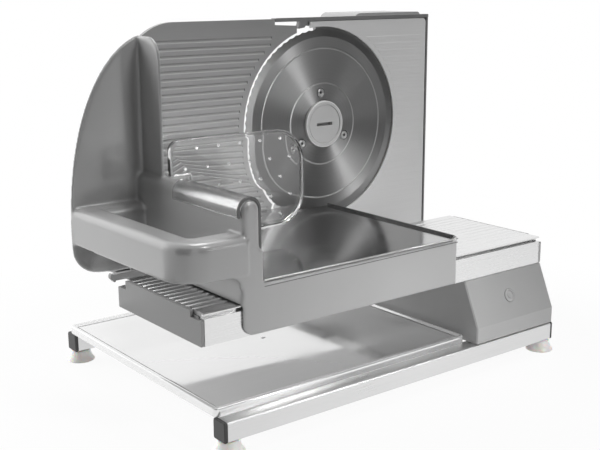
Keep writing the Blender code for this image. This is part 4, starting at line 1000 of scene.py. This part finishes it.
@dataclass
class LeftoverHolder(Maker):
    """Clear holder: a sleeve over the carriage's wall and an upright plate with small spikes."""

    middle: float = -196.0
    outer: float = 9.6
    inner: float = 7.5
    crown: float = -16.1
    left_foot: float = -30.3
    right_foot: float = -57.3
    front: float = -164.0
    rear: float = -78.1
    plate_left: float = -205.6
    plate_step: float = -188.0
    plate_right: float = -82.0
    plate_top: float = 12.3
    plate_foot: float = -14.6
    plate_low: Flat = (-68.2, -64.7)
    plate_front: float = -75.1
    plate_back: float = -72.7
    rim_front: float = -77.7
    spike_rows: tuple[tuple[float, int], ...] = ((-102.7, 5), (-93.4, 6), (-102.6, 5), (-92.8, 5), (-102.6, 3))
    spike_top: float = 4.9
    spike_pitch: float = 19.5
    spike_drop: float = 15.3

    def build(self) -> None:
        """Builds sleeve, painted shade on its front edge, plate and spikes."""
        shape = self.sleeve()
        long = self.rings([[(x, y, z) for x, z in shape] for y in (self.front + 1.0, self.rear)])
        sleeve = self.piece("clear_sleeve", long, SLEEVE, "holder", 30)
        round_edges(sleeve, 0.4, 3)
        # A thin dark ring at the sleeve's front end, painted as the shade its clear end face shows.
        short = self.rings([[(x, y, z) for x, z in shape] for y in (self.front, self.front + 0.95)])
        edge = self.piece("sleeve_front_painted_shade", short, PAINTED_EDGE_SHADE, "holder", 30)
        round_edges(edge, 0.3)
        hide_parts("leftover_holder")
        plate = self.plate()
        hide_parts("holder_plate")
        self.points_for_food()

    def arch(self, radius: float) -> list[Flat]:
        """Gives a half round over the sleeve's middle, from left to right."""
        over = [pi * (1 - k / 28) for k in range(29)]
        return [(self.middle + radius * cos(a), self.crown - self.outer + radius * sin(a)) for a in over]

    def sleeve(self) -> list[Flat]:
        """Draws the sleeve's inverted-U section.

        Returns:
            The section's points.
        """
        middle, wide, narrow = self.middle, self.outer, self.inner
        return [(middle - wide, self.left_foot), *self.arch(wide), (middle + wide, self.right_foot),
                (middle + narrow, self.right_foot), *self.arch(narrow)[::-1], (middle - narrow, self.left_foot)]

    def plate_outline(self, inset: float) -> list[Flat]:
        """Draws the plate's outline.

        Args:
            inset: How far it is drawn in.

        Returns:
            The outline's points.
        """
        left, right, top = self.plate_left + inset, self.plate_right - inset, self.plate_top - inset
        step, foot = self.plate_step + inset * 0.5, self.plate_foot + inset * 0.5
        low_left, low_right = self.plate_low[0] + inset, self.plate_low[1] + inset
        return self.outline([
            (left, foot, 2.0), (step, foot, 0.3), (step, low_left, 4.0), (right, low_right, 25.0 - inset),
            (right, top, 27.0 - inset), (left, top, 8.0 - inset * 0.5)], 14)

    def plate(self) -> Object:
        """Builds the plate with its thick rounded rim.

        Returns:
            The plate.
        """
        f, p, b = self.rim_front, self.plate_front, self.plate_back
        section = [(3.6, b), (0.9, b), (0.35, b - 0.15), (0.05, b - 0.5), (0.0, b - 1.0), (0.0, f + 1.1),
                   (0.1, f + 0.6), (0.45, f + 0.15), (1.0, f), (1.7, f), (2.2, f + 0.2), (2.5, f + 0.7),
                   (2.6, p - 0.6), (2.8, p - 0.15), (3.3, p)]
        loops = [[(x, y, z) for x, z in self.plate_outline(i)] for i, y in section]
        return self.piece("clear_plate", self.rings(loops), CLEAR, "holder", 40)

    def points_for_food(self) -> None:
        """Builds the spikes on the plate's back, in rows from their first one's place and their number."""
        points: list[Point] = []
        faces: list[tuple[int, ...]] = []
        spike = [(0.0, 0.02), (1.35, 0.02), (1.1, 0.5), (0.75, 1.5), (0.35, 2.6), (0.0, 2.9)]
        for row, (first, count) in enumerate(self.spike_rows):
            for k in range(count):
                at = (first - self.spike_pitch * k, self.plate_back, self.spike_top - self.spike_drop * row)
                some, sides = self.lathe(spike, 16, at)
                faces += [tuple(i + len(points) for i in side) for side in sides]
                points += some
        made = self.piece("plate_spikes", (points, faces), CLEAR, "holder", 40)


@dataclass
class SuctionFoot(Maker):
    """Milky vinyl foot: narrow neck, flared skirt and a thin lip on the table."""

    node: str
    at: Flat
    table: float = -189.6

    def build(self) -> None:
        """Builds one foot from its radii and heights over the table."""
        profile = [(0.0, 1.6), (7.5, 1.2), (11.0, 0.2), (11.5, 0.05), (11.6, 0.5), (11.3, 1.1), (10.4, 2.2), (9.3, 3.9),
                   (8.6, 5.8), (8.2, 7.6), (7.9, 8.7), (7.3, 9.15), (0.0, 9.18)]
        turned = self.lathe([(r, self.table + h) for r, h in profile], 64, (*self.at, 0.0), Axis.Z)
        made = self.piece(f"{self.node}_skirt", turned, FOOT, "base", 40)
        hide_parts(self.node)


# Studio


@dataclass(frozen=True)
class Stand:
    """Something in the studio that stands at a place and faces a point."""

    name: str
    at: Point
    aim: Point

    def place(self, data: ID) -> Object:
        """Puts a lamp or a card in this place and turns it to its aim.

        Args:
            data: The lamp's light or the card's mesh.

        Returns:
            The placed object.
        """
        made = bpy.data.objects.new(self.name, data)
        made.location = self.at
        made.rotation_euler = (Vector(self.aim) - Vector(self.at)).to_track_quat("-Z", "Y").to_euler()
        bpy.context.scene.collection.objects.link(made)
        return made


@dataclass(frozen=True)
class Softbox(Stand):
    """A rectangular studio lamp, with its cloth seen in shiny surfaces or flagged off from them."""

    size: Flat
    watts: float
    mirrored: bool = True

    def hang(self) -> None:
        """Hangs the softbox."""
        light = bpy.data.lights.new(self.name, "AREA")
        light.shape = "RECTANGLE"
        light.size, light.size_y = self.size
        light.energy = self.watts
        self.place(light).visible_glossy = self.mirrored


@dataclass(frozen=True)
class Snoot(Stand):
    """A lamp whose light is kept to a small round patch."""

    spread: float
    watts: float
    fade: float = 0.9
    radius: float = 0.12

    def hang(self) -> None:
        """Stands the lamp that lifts the front plate, the bench and the tray."""
        light = bpy.data.lights.new(self.name, "SPOT")
        light.energy = self.watts
        light.spot_size = radians(self.spread)
        light.spot_blend = self.fade
        light.shadow_soft_size = self.radius
        self.place(light)


@dataclass(frozen=True)
class Card(Stand):
    """A dull or bright card that only shiny surfaces pick up: on a stand in the studio, or hidden under the machine as
    a painted reflection.
    """

    size: Flat
    grey: float

    def hang(self) -> None:
        """Stands the card where it shows in reflections and casts no shadow."""
        paper = blank(f"{self.name}_paper")
        glow = add_node(paper.node_tree, "ShaderNodeEmission", {"Color": WHITE, "Strength": self.grey})
        add_node(paper.node_tree, "ShaderNodeOutputMaterial", {"Surface": glow.outputs[0]})
        stood = self.place(flat_mesh(self.name, self.size[0] / 2, self.size[1] / 2, paper))
        stood.visible_camera = stood.visible_diffuse = stood.visible_shadow = stood.visible_transmission = False


def flat_mesh(name: str, wide: float, high: float, paint: Material) -> Mesh:
    """Makes a flat rectangle round its middle.

    Args:
        name: The mesh's name.
        wide: Half its width.
        high: Half its height.
        paint: Its material.

    Returns:
        The mesh.
    """
    mesh = bpy.data.meshes.new(name)
    mesh.from_pydata([(-wide, -high, 0), (wide, -high, 0), (wide, high, 0), (-wide, high, 0)], [], [(0, 1, 2, 3)])
    mesh.materials.append(paint)
    return mesh


def looked_at(tree: NodeTree) -> NodeSocket:
    """Tells what is seen directly, mirrored or through clear plastic from what only gives light.

    Args:
        tree: The node tree.

    Returns:
        1 for what is seen, and 0 for the rest.
    """
    seen = add_node(tree, "ShaderNodeLightPath").outputs
    shine = combine(tree, "MAXIMUM", seen["Is Camera Ray"], seen["Is Glossy Ray"])
    return combine(tree, "MAXIMUM", shine, seen["Is Transmission Ray"])


@dataclass
class Studio:
    """White floor, softboxes, cards and a camera at the photograph's place."""

    lens_mm: float = 61.1
    sensor_mm: float = 36.0
    azimuth: float = 37.6
    pitch: float = 13.2
    roll: float = -0.35
    eye: Point = (-0.51565, -0.6580, 0.3116)
    floor_reach: float = 4.0
    sky: float = 0.09
    bounce: float = 0.44
    paint_reach: Flat = (0.35, 0.75)
    paint_tones: Flat = (0.75, 0.05)
    shade_reach: Flat = (0.26, 0.42)
    shade_tones: Flat = (0.93, 1.0)
    softboxes: tuple[Softbox, ...] = (
        Softbox("key_softbox", (0.42, -1.57, 1.62), (0.0, 0.0, 0.15), (0.40, 0.40), 14.8),
        Softbox("top_softbox", (0.35, 0.1, 1.9), (0.0, 0.0, 0.1), (0.9, 0.9), 16.0),
        Softbox("left_softbox", (-1.0, 1.4, 0.75), (-0.15, 0.0, 0.12), (1.5, 1.3), 44.0, mirrored=False),
    )
    snoot: Snoot = Snoot("low_snoot", (0.42, -1.05, 0.26), (0.01, -0.10, 0.065), 17.0, 34.0)
    cards: tuple[Card, ...] = (
        Card("right_card", (0.52, -0.42, 0.33), (0.064, 0.06, 0.20), (0.62, 0.60), 0.05),
        Card("front_card", (-0.02, -0.70, 0.35), (0.064, 0.06, 0.20), (0.50, 0.60), 0.05),
        Card("key_glint", (0.30, -1.13, 1.23), (0.064, 0.06, 0.19), (0.30, 0.30), 1.5),
        Card("left_glow", (-0.98, 1.37, 0.74), (-0.15, 0.0, 0.12), (1.5, 1.3), 1.45),
        # Glowing sheets hidden under the machine, seen only in shiny surfaces: they paint a bright reflection of the
        # undersides into the tray.
        Card("painted_reflection_under_carriage", (-0.15, -0.042, 0.0735), (-0.15, -0.042, 0.0), (0.42, 0.124), 0.36),
        Card("painted_reflection_rear", (-0.15, 0.075, 0.0735), (-0.15, 0.075, 0.0), (0.42, 0.11), 1.05),
        Card("left_card", (-0.62, -0.36, 0.33), (0.064, 0.06, 0.20), (0.50, 0.60), 0.06),
    )

    def build(self) -> None:
        """Builds floor, light, cards and camera."""
        self.floor()
        self.world()
        for thing in (*self.softboxes, self.snoot, *self.cards):
            thing.hang()
        self.camera()

    def faded(self, tree: NodeTree, away: NodeSocket, reach: Flat, tones: Flat) -> NodeSocket:
        """Fades between two tones over a stretch of the way out from the floor's middle."""
        ends = {"From Min": reach[0], "From Max": reach[1], "To Min": tones[0], "To Max": tones[1]}
        return add_node(tree, "ShaderNodeMapRange", {"Value": away, **ends}).outputs[0]

    def floor(self) -> None:
        """Lays a white floor that keeps the object's shadow."""
        sweep = blank("white_sweep")
        tree = sweep.node_tree
        point = add_node(tree, "ShaderNodeTexCoord").outputs["Object"]
        away = add_node(tree, "ShaderNodeVectorMath", {0: point}, operation="LENGTH").outputs["Value"]
        near = self.faded(tree, away, self.paint_reach, self.paint_tones)
        fade = self.faded(tree, away, self.shade_reach, self.shade_tones)
        paint = add_node(tree, "ShaderNodeBsdfDiffuse", {"Color": near})
        glow = add_node(tree, "ShaderNodeEmission", {"Color": WHITE, "Strength": 1.0})
        shown = combine(tree, "MULTIPLY", looked_at(tree), fade)
        share = combine(tree, "MAXIMUM", shown, combine(tree, "MULTIPLY", near, self.bounce))
        mix = add_node(tree, "ShaderNodeMixShader", {0: share, 1: paint.outputs[0], 2: glow.outputs[0]})
        add_node(tree, "ShaderNodeOutputMaterial", {"Surface": mix.outputs[0]})
        ground = bpy.data.objects.new("floor", flat_mesh("floor", self.floor_reach, self.floor_reach, sweep))
        bpy.context.scene.collection.objects.link(ground)

    def world(self) -> None:
        """Fills the room with soft white light, and shows pure white behind the object."""
        world = bpy.data.worlds.new("white_room")
        bpy.context.scene.world = world
        world.use_nodes = True
        tree = world.node_tree
        tree.nodes.clear()
        light = add_node(tree, "ShaderNodeMapRange", {"Value": looked_at(tree), "To Min": self.sky, "To Max": 1.0})
        sky = add_node(tree, "ShaderNodeBackground", {"Color": WHITE, "Strength": light.outputs[0]})
        add_node(tree, "ShaderNodeOutputWorld", {"Surface": sky.outputs[0]})

    def camera(self) -> None:
        """Sets the camera where the photograph was taken from."""
        data = bpy.data.cameras.new("photo_camera")
        data.lens = self.lens_mm
        data.sensor_width = self.sensor_mm
        az, down = radians(self.azimuth), radians(self.pitch)
        ahead = Vector((sin(az) * cos(down), cos(az) * cos(down), -sin(down)))
        right = Vector((cos(az), -sin(az), 0.0))
        up = right.cross(ahead)
        turn = Matrix.Rotation(-radians(self.roll), 3, ahead)
        right, up = turn @ right, turn @ up
        seat = Matrix((right, up, -ahead)).transposed().to_4x4()
        seat.translation = Vector(self.eye)
        eye = bpy.data.objects.new("photo_camera", data)
        eye.matrix_world = seat
        bpy.context.scene.collection.objects.link(eye)
        bpy.context.scene.camera = eye


def main() -> None:
    """Builds the studio and every sub-assembly, and reports each."""
    bpy.context.scene.view_settings.view_transform = "Standard"
    Studio().build()
    CadDressing(CAD_FINISHES, SOFT_EDGES).dress()
    for unit in (BladeUnit(), StopPlate(), DripTray(), DeckEdge(), LeftoverHolder()):
        unit.build()
    for node, at in FEET.items():
        SuctionFoot(node, at).build()


if __name__ == "__main__":
    main()
